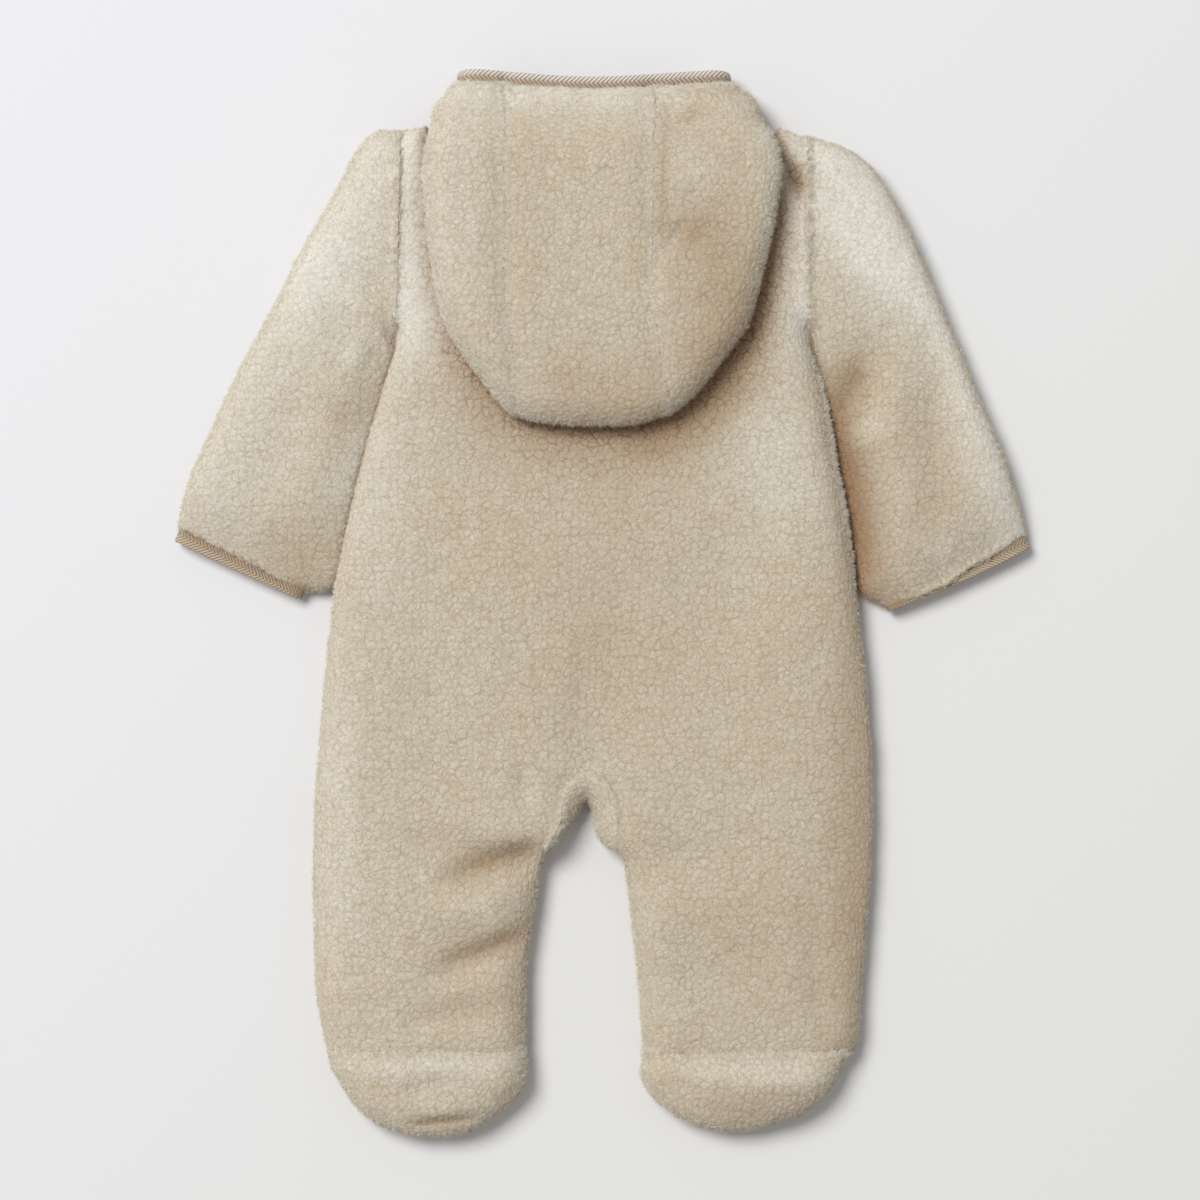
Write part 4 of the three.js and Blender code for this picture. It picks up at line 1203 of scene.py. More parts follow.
@dataclass
class Relief:
    """Raises the nubs of the pile and the cloth's small unevenness, and closes its seams."""

    finish: PileFinish
    top_rise: float = 0.2 * MM
    edge_rise: float = 0.9 * MM
    sunk: float = 0.55
    swell: float = 1.1 * MM
    swell_size: float = 34 * MM
    seam_reach: float = 5.0 * MM
    seam_dent: float = 1.3 * MM
    seam_gap: float = 2.4 * MM
    overlap: float = 0.9 * MM
    seam_calm: float = 0.6
    facing: float = 0.8
    foot: float = 2.5 * MM
    open_foot: float = 7 * MM

    def read(self, made: bpy.types.Object) -> Reading:
        """Reads the finish's own pattern at the mesh's points.

        Args:
            made: The object.

        Returns:
            The readings, from 0 to 1.
        """
        group = bpy.data.node_groups.new("read_pile", "GeometryNodeTree")
        for way in ("INPUT", "OUTPUT"):
            group.interface.new_socket("Geometry", in_out=way, socket_type="NodeSocketGeometry")
        tree = Tree(group)
        settings = {"data_type": "FLOAT_VECTOR"}
        rest = tree.node("GeometryNodeInputNamedAttribute", settings, {"Name": REST})
        values = {
            "domes": self.finish.domes(tree, self.finish.place(tree, rest)),
            "broad": tree.noise(rest, self.swell_size, 2.0),
        }
        geometry = tree.node("NodeGroupInput")
        for name, value in values.items():
            settings = {"data_type": "FLOAT", "domain": "POINT"}
            sockets = {"Geometry": geometry, "Name": name, "Value": value}
            geometry = tree.node("GeometryNodeStoreNamedAttribute", settings, sockets)
        tree.node("NodeGroupOutput", None, {0: geometry})
        modifier = made.modifiers.new("read_pile", "NODES")
        modifier.node_group = group
        bpy.context.view_layer.update()
        whole = made.evaluated_get(bpy.context.evaluated_depsgraph_get()).data
        found = {}
        for name in values:
            stored = np.zeros(len(whole.vertices), np.float32)
            whole.attributes[name].data.foreach_get("value", stored)
            found[name] = stored.astype(float)
        made.modifiers.clear()
        bpy.data.node_groups.remove(group)
        return Reading(**found)

    def walls(self, skin: Skin, others: BVHTree) -> np.ndarray:
        """Finds the faces inside a seam, which look at the piece that they are sewn to.

        Args:
            skin: The skin.
            others: The pieces that it is sewn to.

        Returns:
            One mark for each face.
        """
        marks = np.zeros(len(skin.faces), bool)
        for i, (centre, normal) in enumerate(zip(skin.centres(), unit(skin.face_normals()))):
            near, _, _, gap = others.find_nearest(Vector(centre), self.seam_gap)
            if near is not None:
                marks[i] = (np.array(near) - centre) @ normal > self.facing * gap
        return marks

    def seams(self, skin: Skin, others: BVHTree) -> tuple[np.ndarray, np.ndarray]:
        """Finds what lies at a seam.

        Args:
            skin: The skin.
            others: The pieces that it is sewn to.

        Returns:
            How far each point sinks there, from 0 to 1, and the move that closes the seam.
        """
        sink, close = np.zeros(len(skin.points)), np.zeros_like(skin.points)
        for i, point in enumerate(skin.points):
            near, _, _, gap = others.find_nearest(Vector(point), self.seam_reach)
            if near is None:
                continue
            sink[i] = (1 - gap / self.seam_reach) ** 2
            if gap < self.seam_gap:
                share = min(1.0, 2 * (1 - gap / self.seam_gap))
                reach = share * (gap / 2 + self.overlap) / max(gap, 1e-9)
                close[i] = (np.array(near) - point) * reach
        return sink, close

    def shape(
        self, read: Reading, skin: Skin, sink: np.ndarray, close: np.ndarray
    ) -> np.ndarray:
        """Moves the pile's points out along their normals and closes the seams.

        Args:
            read: The finish's pattern at the points.
            skin: The skin.
            sink: How far each point sinks at a seam.
            close: The move that closes the seam.

        Returns:
            The moved points.
        """
        flat = np.abs(skin.normals[:, 2])
        nubs = self.top_rise * flat + self.edge_rise * (1 - flat)
        rise = (read.domes - self.sunk) * nubs + (read.broad - 0.5) * 2 * self.swell
        rise = rise * (1 - self.seam_calm * sink) - self.seam_dent * sink * flat
        rise = np.where(skin.raised(), rise, 0)
        rise[(skin.points[:, 2] < self.foot) & (skin.normals[:, 2] < 0)] = 0
        moved = skin.points + skin.normals * rise[:, None] + close
        moved[:, 2] = np.maximum(moved[:, 2], 0.0)
        return moved


@dataclass(frozen=True)
class Loose:
    """The corners of loose fibres, three for each, with what each corner takes from its root."""

    corners: np.ndarray
    facing: np.ndarray
    rest: np.ndarray
    hollow: np.ndarray
    painted_light_shade: np.ndarray


@dataclass(frozen=True)
class Fuzz:
    """Loose fibres, thick along the outlines and thin on top."""

    count: int
    seed: int
    fibre_length: float = 1.8 * MM
    fibre_width: float = 0.28 * MM
    tuft_length: float = 1.5 * MM
    tuft_width: float = 0.5 * MM
    tuft_share: float = 0.25
    seam_tufts: float = 0.6
    seam_fuzz: float = 9.0
    longest: float = 3 * MM
    root_depth: float = 0.35 * MM
    underside: float = -0.4
    outline: tuple[float, float, float] = (1.35, 0.35, 1.2)
    lock: float = 3.0 * MM
    locks: int = 64
    lock_lean: float = 0.8
    own_lean: float = 0.5
    flatness: float = 0.4
    outward: float = 0.3
    roll: float = 0.15

    def shares(self, cross: np.ndarray, sewn: np.ndarray) -> np.ndarray:
        """Works out how many of the fibres each face takes.

        Args:
            cross: The faces' normals, as long as twice their areas.
            sewn: How near they lie to a seam, or below 0 where none grow.

        Returns:
            Each face's share.
        """
        area = np.linalg.norm(cross, axis=1)
        height = (cross / np.maximum(area, 1e-15)[:, None])[:, 2]
        most, least, edge = self.outline
        open_side = np.clip(most - np.abs(height), least, edge)
        grows = np.where(height < self.underside, 0.0, 1.0)
        share = area * np.maximum(open_side + self.seam_fuzz * sewn, 0) * grows
        return share / share.sum()

    def leans(self, chance: np.random.Generator, rest: np.ndarray, out: np.ndarray) -> np.ndarray:
        """Combs the fibres in locks, flat on top and standing off at the sides.

        Args:
            chance: The source of randomness.
            rest: Their places on the cloth.
            out: The cloth's normals there.

        Returns:
            Their directions.
        """
        lock = np.floor(rest[:, :2] / self.lock).astype(int) % self.locks
        comb = chance.normal(size=(self.locks, self.locks, 3))[lock[:, 0], lock[:, 1]]
        own = chance.normal(size=(self.count, 3))
        lean = unit(comb * self.lock_lean + own * self.own_lean)
        top = np.clip(out[:, 2:], 0, 1)
        flat = unit(lean - (lean * out).sum(axis=1, keepdims=True) * out)
        lean = flat * (0.7 + top) + out * (1.0 - 0.75 * top)
        return unit(lean * np.array([1, 1, self.flatness]))

    def grow(
        self,
        skin: Skin,
        points: np.ndarray,
        hollow: np.ndarray,
        painted_light_shade: np.ndarray,
        sink: np.ndarray,
    ) -> Loose:
        """Grows the fibres as thin spikes.

        Args:
            skin: The skin.
            points: Its points after the nubs were raised.
            hollow: How shut in its points are, which sets the shade painted into the fibres.
            painted_light_shade: The light painted into the fibres above 0 and the shade painted
                in below 0.
            sink: How near they lie to a seam, which the fibres hide, or below 0 where none grow.

        Returns:
            The fibres.
        """
        chance = np.random.default_rng(self.seed)
        faces = skin.faces[skin.fine & ~skin.lining]
        a, b, c = (points[faces[:, i]] for i in range(3))
        share = self.shares(np.cross(b - a, c - a), sink[faces].mean(axis=1))
        picks = chance.choice(len(faces), self.count, p=share)
        u, v = chance.random((2, self.count))
        flip = u + v > 1
        u, v = np.where(flip, 1 - u, u)[:, None], np.where(flip, 1 - v, v)[:, None]

        def blend(values: np.ndarray) -> np.ndarray:
            """Takes the points' values at the fibres' roots."""
            x, y, z = (values[faces[picks, i]] for i in range(3))
            return x + (y - x) * u + (z - x) * v

        root, out, rest = blend(points), unit(blend(skin.normals)), blend(skin.rest)
        lean = self.leans(chance, rest, out)
        near = blend(sink[:, None]) * self.seam_tufts
        tuft = chance.random((self.count, 1)) < self.tuft_share + near
        length = np.where(tuft, self.tuft_length, self.fibre_length)
        length = length * chance.gamma(4.0, 0.25, (self.count, 1))
        facing = unit(out * self.outward + np.array([0, 0, 1.0]))
        across = unit(np.cross(lean, facing + chance.normal(size=(self.count, 3)) * self.roll))
        turned = (np.cross(across, lean) * facing).sum(axis=1, keepdims=True) < 0
        across = np.where(turned, -across, across)
        across *= np.where(tuft, self.tuft_width, self.fibre_width) / 2
        base = root - out * self.root_depth
        tip = root + lean * np.minimum(length, self.longest)
        for ends in (tip, base):
            ends[:, 2] = np.maximum(ends[:, 2], 0.0)
        return Loose(
            np.stack([base - across, base + across, tip], axis=1).reshape(-1, 3),
            np.repeat(facing, 3, axis=0),
            np.repeat(rest, 3, axis=0),
            np.repeat(blend(hollow[:, None])[:, 0], 3),
            np.repeat(blend(painted_light_shade[:, None])[:, 0], 3),
        )


# ---------------------------------------------------------------------------------------------
# The suit's sub-assemblies


@dataclass(frozen=True)
class Panel:
    """One cut piece of pile cloth: its flat cut in metres, its mesh's longest edge and its folds.

    The folds deepen with height, from nothing at the level's first value to their full depth at
    its second, both in millimetres. A press takes a share of the height away. The depth of a
    light and shade patch is how much shade is painted into the pile's colour along it, and below
    0 how much light is painted in, paler and with softer nubs. The seam is a share of the
    relief's seam dent, below 0 where the pile stands up beside it. Where the cloth is bare, no
    loose fibres stand.
    """

    node: str
    flat: tuple[float, float]
    area: float
    edge: float
    fibres: int
    rests_on: tuple[str, ...] = ()
    folds: tuple[Crease, ...] = ()
    level: tuple[float, float] = (13.9, 24.5)
    presses: tuple[Crease, ...] = ()
    shifts: tuple[Shift, ...] = ()
    light_shade_patches: tuple[Crease, ...] = ()
    seam: float = 0.0
    bare: tuple[Crease, ...] = ()


@dataclass
class Kit:
    """What every sub-assembly needs: the frame, the skins, the views and the finishes.

    The plain meshes are the pieces as they were packed. The seams hold what lies at each
    panel's seams once it is prepared.
    """

    frame: dict
    skins: dict[str, Skin]
    views: Views
    pile: bpy.types.Material
    fibres: bpy.types.Material
    lining: bpy.types.Material
    relief: Relief
    hollow_shading: HollowShading
    plain: dict[str, tuple[np.ndarray, np.ndarray]]
    panels: dict[str, Panel] = field(default_factory=dict)
    seams: dict[str, tuple[np.ndarray, np.ndarray]] = field(default_factory=dict)

    def search_tree(self, names: set[str]) -> BVHTree:
        """Gathers pieces as they were packed, for the nearest place on them to be found.

        Args:
            names: The pieces' nodes.

        Returns:
            The search tree.
        """
        points, faces, count = [], [], 0
        for name, (where, which) in self.plain.items():
            if name in names:
                points.extend(map(tuple, where))
                faces.extend(map(tuple, which + count))
                count += len(where)
        return BVHTree.FromPolygons(points, faces)

    def prepare(self, panels: tuple[Panel, ...], walls: set[str], sewn: set[str]) -> None:
        """Refines the skins of a group of panels and lays their folds.

        Args:
            panels: The panels.
            walls: The nodes whose walls make their hollow.
            sewn: The nodes that they are sewn to.
        """
        for panel in panels:
            self.panels[panel.node] = panel
            others = self.search_tree(sewn - {panel.node})
            skin = self.skins[panel.node]
            skin.fine = self.views.seen(panel.node, skin)
            skin.lining = self.views.linings(skin, walls)
            skin.wall = self.relief.walls(skin, others)
            skin.normals = skin.point_normals()
            while skin.split(panel.edge):
                pass
            held = np.ones(len(skin.points), bool)
            held[skin.faces[skin.fine].reshape(-1)] = False
            held[skin.faces[~skin.fine].reshape(-1)] = True
            skin.smooth(SMOOTH_ROUNDS, SMOOTH_SHARE, held)
            skin.normals = skin.point_normals()
            skin.unroll(panel.level[1] * MM)
            self.seams[panel.node] = self.relief.seams(skin, others)
            self.lay(skin.points, panel)
            skin.normals = skin.point_normals()

    @staticmethod
    def lay(points: np.ndarray, panel: Panel) -> None:
        """Lowers cloth into its troughs, raises it on its ridges and presses it flatter.

        Args:
            points: The cloth's points.
            panel: Its panel.
        """
        x, y, z = (points / MM).T
        low, high = panel.level
        share = np.clip((z - low) / (high - low), 0, 1)
        for fold in panel.folds:
            points[:, 2] -= fold.fall(x, y) * share * MM
        for shift in panel.shifts:
            shift.move(points)
        for press in panel.presses:
            points[:, 2] *= 1 - press.fall(x, y)

    def make(self, node: str, seed: int) -> bpy.types.Object:
        """Args:
            node: The panel's node.
            seed: The seed of its fibres.

        Returns:
            The finished piece.
        """
        panel, skin = self.panels[node], self.skins[node]
        sink, close = self.seams[node]
        points = self.relief.shape(self.pattern(node), skin, sink * panel.seam, close)
        # How strongly shade is painted in at each point, fading out near the floor.
        hollow = self.hollow_shading.at(skin.points + skin.normals * MM, skin.normals)
        hollow *= np.clip(points[:, 2] / self.relief.open_foot, 0, 1)
        # Painted light above 0 and painted shade below 0, from the panel's patches.
        painted_light_shade = np.clip(-falls(panel.light_shade_patches, skin.points), -1, 1)
        cloth = Skin(points, skin.faces, wall=skin.wall).build(
            f"{node}_pile", [self.pile, self.lining], skin.lining.astype(int)
        )
        keep(cloth, {REST: skin.rest, HOLLOW_SHADE: hollow, PAINTED_LIGHT_SHADE: painted_light_shade})
        thin = sink - 2 * falls(panel.bare, skin.points)
        fringe = self.fringe(node, Fuzz(panel.fibres, seed).grow(skin, points, hollow, painted_light_shade, thin))
        for piece in (cloth, fringe):
            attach(piece, BODY)
        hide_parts(node)
        LOG.info("%s: %d triangles, %d fibres", cloth.name, len(skin.faces), panel.fibres)
        return cloth

    def pattern(self, node: str) -> Reading:
        """Reads the pile's pattern on a panel while it is still smooth.

        Args:
            node: The panel's node.

        Returns:
            The readings at its points.
        """
        smooth = self.skins[node].build(f"{node}_smooth", [self.pile])
        keep(smooth, {REST: self.skins[node].rest})
        reading = self.relief.read(smooth)
        bpy.data.objects.remove(smooth)
        return reading

    def fringe(self, node: str, loose: Loose) -> bpy.types.Object:
        """Makes a panel's loose fibres.

        Args:
            node: The panel's node.
            loose: The fibres.

        Returns:
            The fibres as one piece.
        """
        spikes = np.arange(len(loose.corners)).reshape(-1, 3)
        made = Skin(loose.corners, spikes).build(f"{node}_fibres", [self.fibres])
        made.data.normals_split_custom_set_from_vertices(loose.facing)
        keep(made, {REST: loose.rest, HOLLOW_SHADE: loose.hollow, PAINTED_LIGHT_SHADE: loose.painted_light_shade})
        return made


@dataclass
class BodyAndLegs:
    """The back, the fronts, the soles and the horseshoe gusset."""

    kit: Kit
    side_slopes: tuple[Crease, ...] = (
        Crease(((162, 15), (159, -22), (156, -174), (148, -262)), 5.5, 32, 32),
        Crease(((-166, 0), (-168, -90), (-166, -190), (-160, -262)), 2.5, 24, 24),
        Crease(((28, -165), (30, -255)), -1.5, 22, 22),
        Crease(((-40, -140), (-44, -262)), 3.0, 14, 14),
    )
    back_folds: tuple[Crease, ...] = (
        Crease(((10, 25), (6, -98)), 1.8, 17, 17),
        Crease(((-47, -92), (-44, -124)), 2.0, 6, 6),
        Crease(((-36, -145), (-62, -152), (-90, -160)), 5.5, 11, 7),
        Crease(((-42, -193), (-66, -203), (-96, -214)), 5.0, 10, 7),
        Crease(((-60, -234), (-118, -247)), 2.0, 9, 8),
        Crease(((-60, -175), (-110, -187)), -1.6, 9, 9),
        Crease(((124, -190), (128, -250)), 1.8, 9, 9),
        SHOULDER_TUCK,
        LEFT_ARMHOLE,
        RIGHT_ARMHOLE,
    )
    # Patches of painted shade where their depth is above 0 and of painted light where it is below
    # 0.
    light_shade_patches: tuple[Crease, ...] = (
        Crease(((-120, 262), (-108, 180)), -1.3, 34, 34, 0),
        Crease(((112, 250), (124, 170)), -1.0, 28, 28, 0),
        Crease(((100, 120), (98, 50)), -0.4, 30, 30),
        Crease(((-128, 130), (-134, 0)), -0.35, 22, 22),
        Crease(((-152, -20), (-156, -220)), -0.35, 16, 16),
        Crease(((-90, 160), (-60, 105), (0, 88), (60, 105), (100, 170)), 0.3, 26, 26),
        Crease(((30, 92), (70, 118), (94, 165), (102, 215)), 0.45, 13, 13, 0.2),
        SHOULDER_PAINTED_SHADE,
        Crease(((0, 70), (10, -90)), 0.16, 60, 60),
        Crease(((152, 30), (150, -120), (146, -260)), 0.4, 20, 20, 0.3),
        Crease(((-38, -140), (-60, -147), (-88, -157)), 0.68, 10, 8),
        Crease(((-44, -192), (-68, -200), (-94, -211)), 0.6, 9, 8),
        Crease(((-44, -150), (-46, -262)), 0.22, 14, 14),
        Crease(((60, -160), (120, -250)), 0.14, 50, 50),
        Crease(((-110, -236), (-60, -232)), 0.2, 10, 10),
    )
    horseshoe: tuple[Crease, ...] = (
        Crease(((-26, -116), (-16, -105), (-4, -105), (10, -130)), -1.4, 7, 7, 0.3),
    )
    left_toe: tuple[Crease, ...] = (
        Crease(((-150, -268), (-51, -266)), -1.6, 5, 6),
        Crease(((-116, -284), (-88, -278)), 1.5, 5, 5),
        Crease(((-110, -303.5), (-74, -300.5)), 3.0, 3, 2.5),
    )
    right_toe: tuple[Crease, ...] = (
        Crease(((31, -268), (83, -282), (128, -278)), -1.6, 5, 6),
        Crease(((50, -292), (90, -298)), 1.2, 5, 5),
    )
    right_ankle: Shift = Shift(Crease(((156, -265), (156, -261)), 6.5, 5, 5, 0), (-1.0, 0.2))
    zip_margin: tuple[Crease, ...] = (Crease(((-10, 290), (-10, -100)), 1.0, 14, 14, 0),)
    wide_edge: float = 3.0 * MM
    narrow_edge: float = 2.2 * MM
    # Patches of painted shade where their depth is above 0 and of painted light where it is below
    # 0.
    toe_light_shade_patches: tuple[Crease, ...] = (
        Crease(((-148, -271), (-56, -270)), -0.4, 6, 6),
        Crease(((-110, -302), (-74, -299)), 0.6, 4, 4),
        Crease(((45, -271), (128, -274)), -0.3, 6, 6),
        Crease(((60, -296), (120, -290)), 0.3, 12, 12),
    )

    @property
    def panels(self) -> tuple[Panel, ...]:
        """Lists the panels.

        Returns:
            The panels with their cuts and folds.
        """
        fronts = ("front_left", "front_right")
        return (
            Panel(
                "back",
                flat=(0.37, 0.57),
                area=0.153,
                edge=self.wide_edge,
                fibres=150000,
                rests_on=fronts,
                folds=self.back_folds + self.side_slopes,
                shifts=(self.right_ankle,),
                light_shade_patches=self.light_shade_patches,
                seam=-0.75,
            ),
            Panel(
                "front_left",
                flat=(0.175, 0.6),
                area=0.078,
                edge=self.wide_edge,
                fibres=24000,
                bare=self.zip_margin,
            ),
            Panel(
                "front_right",
                flat=(0.18, 0.6),
                area=0.085,
                edge=self.wide_edge,
                fibres=24000,
                bare=self.zip_margin,
            ),
            Panel(
                "sole_left",
                flat=(0.13, 0.06),
                area=0.0056,
                edge=self.narrow_edge,
                fibres=16000,
                rests_on=fronts[:1],
                folds=self.left_toe,
                light_shade_patches=self.toe_light_shade_patches,
                seam=-0.7,
            ),
            Panel(
                "sole_right",
                flat=(0.135, 0.056),
                area=0.0055,
                edge=self.narrow_edge,
                fibres=16000,
                rests_on=fronts[1:],
                folds=self.right_toe,
                light_shade_patches=self.toe_light_shade_patches,
                seam=-0.7,
            ),
            Panel(
                "crotch_gusset",
                flat=(0.05, 0.06),
                area=0.0017,
                edge=self.narrow_edge,
                fibres=7000,
                rests_on=fronts,
                folds=self.horseshoe,
                seam=-0.2,
            ),
        )

    def prepare(self) -> None:
        """Refines the panels and lays their folds."""
        walls = {panel.node for panel in self.panels}
        self.kit.prepare(self.panels, walls, walls | {"sleeve_left", "sleeve_right"})

    def build(self) -> None:
        """Makes the panels."""
        for seed, panel in enumerate(self.panels):
            self.kit.make(panel.node, seed)


TAPE_EDGE = 1.8 * MM
TWILL_GREIGE = TwillFinish(
    "hood_twill", linear(190, 170, 148), linear(236, 229, 218), linear(116, 90, 66)
)
TWILL_TAN = TwillFinish(
    "cuff_twill",
    linear(184, 161, 134),
    linear(206, 188, 164),
    linear(116, 91, 67),
    2.3 * MM,
    0.6,
)


@dataclass
class Sleeves:
    """The two sleeves, each a tube with a twill binding at the cuff."""

    kit: Kit
    left_folds: tuple[Crease, ...] = (
        Crease(((-139, 192), (-124, 160)), 3.0, 8, 8),
        Crease(((-147, 150), (-136, 142)), -1.5, 8, 8),
        Crease(((-156, 113), (-136, 95)), 2.5, 8, 8),
        LEFT_ARMHOLE,
    )
    right_folds: tuple[Crease, ...] = (
        Crease(((136, 106), (154, 135)), 2.2, 8, 8),
        Crease(((147, 116), (164, 90)), -2.0, 9, 9),
        Crease(((192, 183), (196, 119), (192, 60), (183, 31)), 3.0, 13, 13),
        RIGHT_ARMHOLE,
        SHOULDER_TUCK,
    )
    left_line: tuple[tuple[float, float], ...] = (
        (-124, 143),
        (-129, 125),
        (-136, 101),
        (-141, 72),
        (-149, 49),
        (-154, 28),
        (-158, 4),
    )
    right_line: tuple[tuple[float, float], ...] = (
        (130, 122),
        (134, 99),
        (140, 65),
        (144, 37),
        (149, 8),
    )
    left_cuff: Crease = Crease(((-239, 36), (-179, 6)), 0.36, 26, 26, 0)
    right_cuff: Crease = Crease(((242, 31), (180, -2)), 0.36, 26, 26, 0)
    # Patches of painted shade where their depth is above 0 and of painted light where it is below
    # 0.
    left_light_shade_patches: tuple[Crease, ...] = (
        Crease(((-128, 262), (-160, 205)), -0.68, 36, 36, 0),
        Crease(((-172, 180), (-228, 70)), -0.5, 34, 34, 0),
        Crease(((-136, 105), (-150, 55)), -0.5, 13, 13),
        Crease(((-149, 148), (-143, 140)), -0.4, 10, 10),
        Crease(((-139, 190), (-125, 162)), 0.22, 10, 10),
        Crease(((-156, 113), (-138, 95)), 0.25, 10, 10),
        Crease(((-200, 45), (-165, 25)), 0.28, 20, 20),
    )
    # Patches of painted shade where their depth is above 0 and of painted light where it is below
    # 0.
    right_light_shade_patches: tuple[Crease, ...] = (
        Crease(((118, 258), (172, 210)), -1.0, 34, 34, 0),
        Crease(((168, 232), (218, 160), (254, 50)), -1.3, 26, 26, 0),
        SHOULDER_PAINTED_SHADE,
        Crease(((149, 108), (158, 92)), -0.55, 11, 11),
        Crease(((138, 120), (143, 70), (154, 8)), 1.0, 17, 17, 0.3),
        Crease(((146, 145), (150, 125)), 0.45, 10, 10),
        Crease(((190, 130), (196, 60), (184, 20)), 0.3, 16, 16),
        Crease(((205, 40), (190, 25)), -0.3, 12, 12),
    )
    edge: float = 2.6 * MM
    left_taper: tuple[float, float] = (0.9, 1.0)
    right_taper: tuple[float, float] = (0.55, 1.0)
    tape_edge: float = TAPE_EDGE

    @property
    def panels(self) -> tuple[Panel, ...]:
        """Lists the two sleeves.

        Returns:
            The sleeves with their cuts and folds.
        """
        return (
            Panel(
                "sleeve_left",
                flat=(0.27, 0.27),
                area=0.0367,
                edge=self.edge,
                fibres=80000,
                folds=self.left_folds,
                presses=(Crease(self.left_line, 0.04, 16, 16), self.left_cuff),
                shifts=(
                    Shift(Crease(self.left_line, 6.5, 9, 9, 0.2), (0.97, -0.2)),
                    Shift(Crease(((-192, 11), (-179, 5)), 2.5, 7, 7, 0), (-0.45, -0.9), 9),
                ),
                light_shade_patches=self.left_light_shade_patches,
                seam=-1.6,
            ),
            Panel(
                "sleeve_right",
                flat=(0.28, 0.275),
                area=0.0411,
                edge=self.edge,
                fibres=80000,
                folds=self.right_folds,
                presses=(Crease(self.right_line, 0.6, 24, 24, 0.5), self.right_cuff),
                shifts=(
                    Shift(Crease(((203, 9), (181, -2)), 4.0, 9, 9, 0), (0.46, -0.89), 8),
                ),
                light_shade_patches=self.right_light_shade_patches,
                seam=-1.5,
            ),
        )

    def prepare(self) -> None:
        """Refines the sleeves and lays their folds."""
        body = {"back", "front_left", "front_right"}
        for hand, panel in zip(Side, self.panels):
            walls = {panel.node, f"cuff_binding_{hand.value}"}
            self.kit.prepare((panel,), walls, body | {panel.node})

    def build(self) -> None:
        """Makes the sleeves and their bindings."""
        tape = TWILL_TAN.material()
        for seed, (hand, panel) in enumerate(zip(Side, self.panels), start=10):
            self.kit.make(panel.node, seed)
            left = hand is Side.LEFT
            press = self.left_cuff if left else self.right_cuff
            taper = self.left_taper if left else self.right_taper
            self.binding(f"cuff_binding_{hand.value}", tape, press, taper)

    def binding(
        self, node: str, tape: bpy.types.Material, press: Crease, taper: tuple[float, float]
    ) -> bpy.types.Object:
        """Makes a cuff's binding, with places along and across it for the twill.

        Args:
            node: The binding's node.
            tape: The twill material.
            press: How the cuff is pressed.
            taper: How much of its width shows at its inner and its outer end.

        Returns:
            The piece.
        """
        skin = self.kit.skins[node]
        skin.fine = np.ones(len(skin.faces), bool)
        low, high = skin.points[:, :2].min(axis=0), skin.points[:, :2].max(axis=0)
        sign = 1 if low[0] > 0 else -1
        inner = np.array([low[0] if sign > 0 else high[0], low[1]])
        outer = np.array([high[0] if sign > 0 else low[0], high[1]])
        line = (outer - inner) / np.linalg.norm(outer - inner)
        away = np.array([line[1] * sign, -line[0] * sign])
        while skin.split(self.tape_edge):
            pass
        piece = skin.build(f"{node}_tape", [tape])
        along = (skin.points[:, :2] - inner) @ line
        out = (skin.points[:, :2] - inner) @ away
        shown = np.interp(along / np.linalg.norm(outer - inner), (0, 1), taper)
        lowered = skin.points.copy()
        lowered[:, :2] -= ((out - out.min()) * (1 - shown))[:, None] * away
        lowered[:, 2] *= 1 - falls((press,), skin.points)
        piece.data.vertices.foreach_set("co", lowered.astype(np.float32).reshape(-1))
        across = out - np.percentile(out, 50) + TWILL_TAN.middle
        keep(piece, {REST: skin.points, ALONG: along, ACROSS: across})
        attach(piece, BODY)
        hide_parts(node)
        LOG.info("%s: %d triangles", piece.name, len(skin.faces))
        return piece


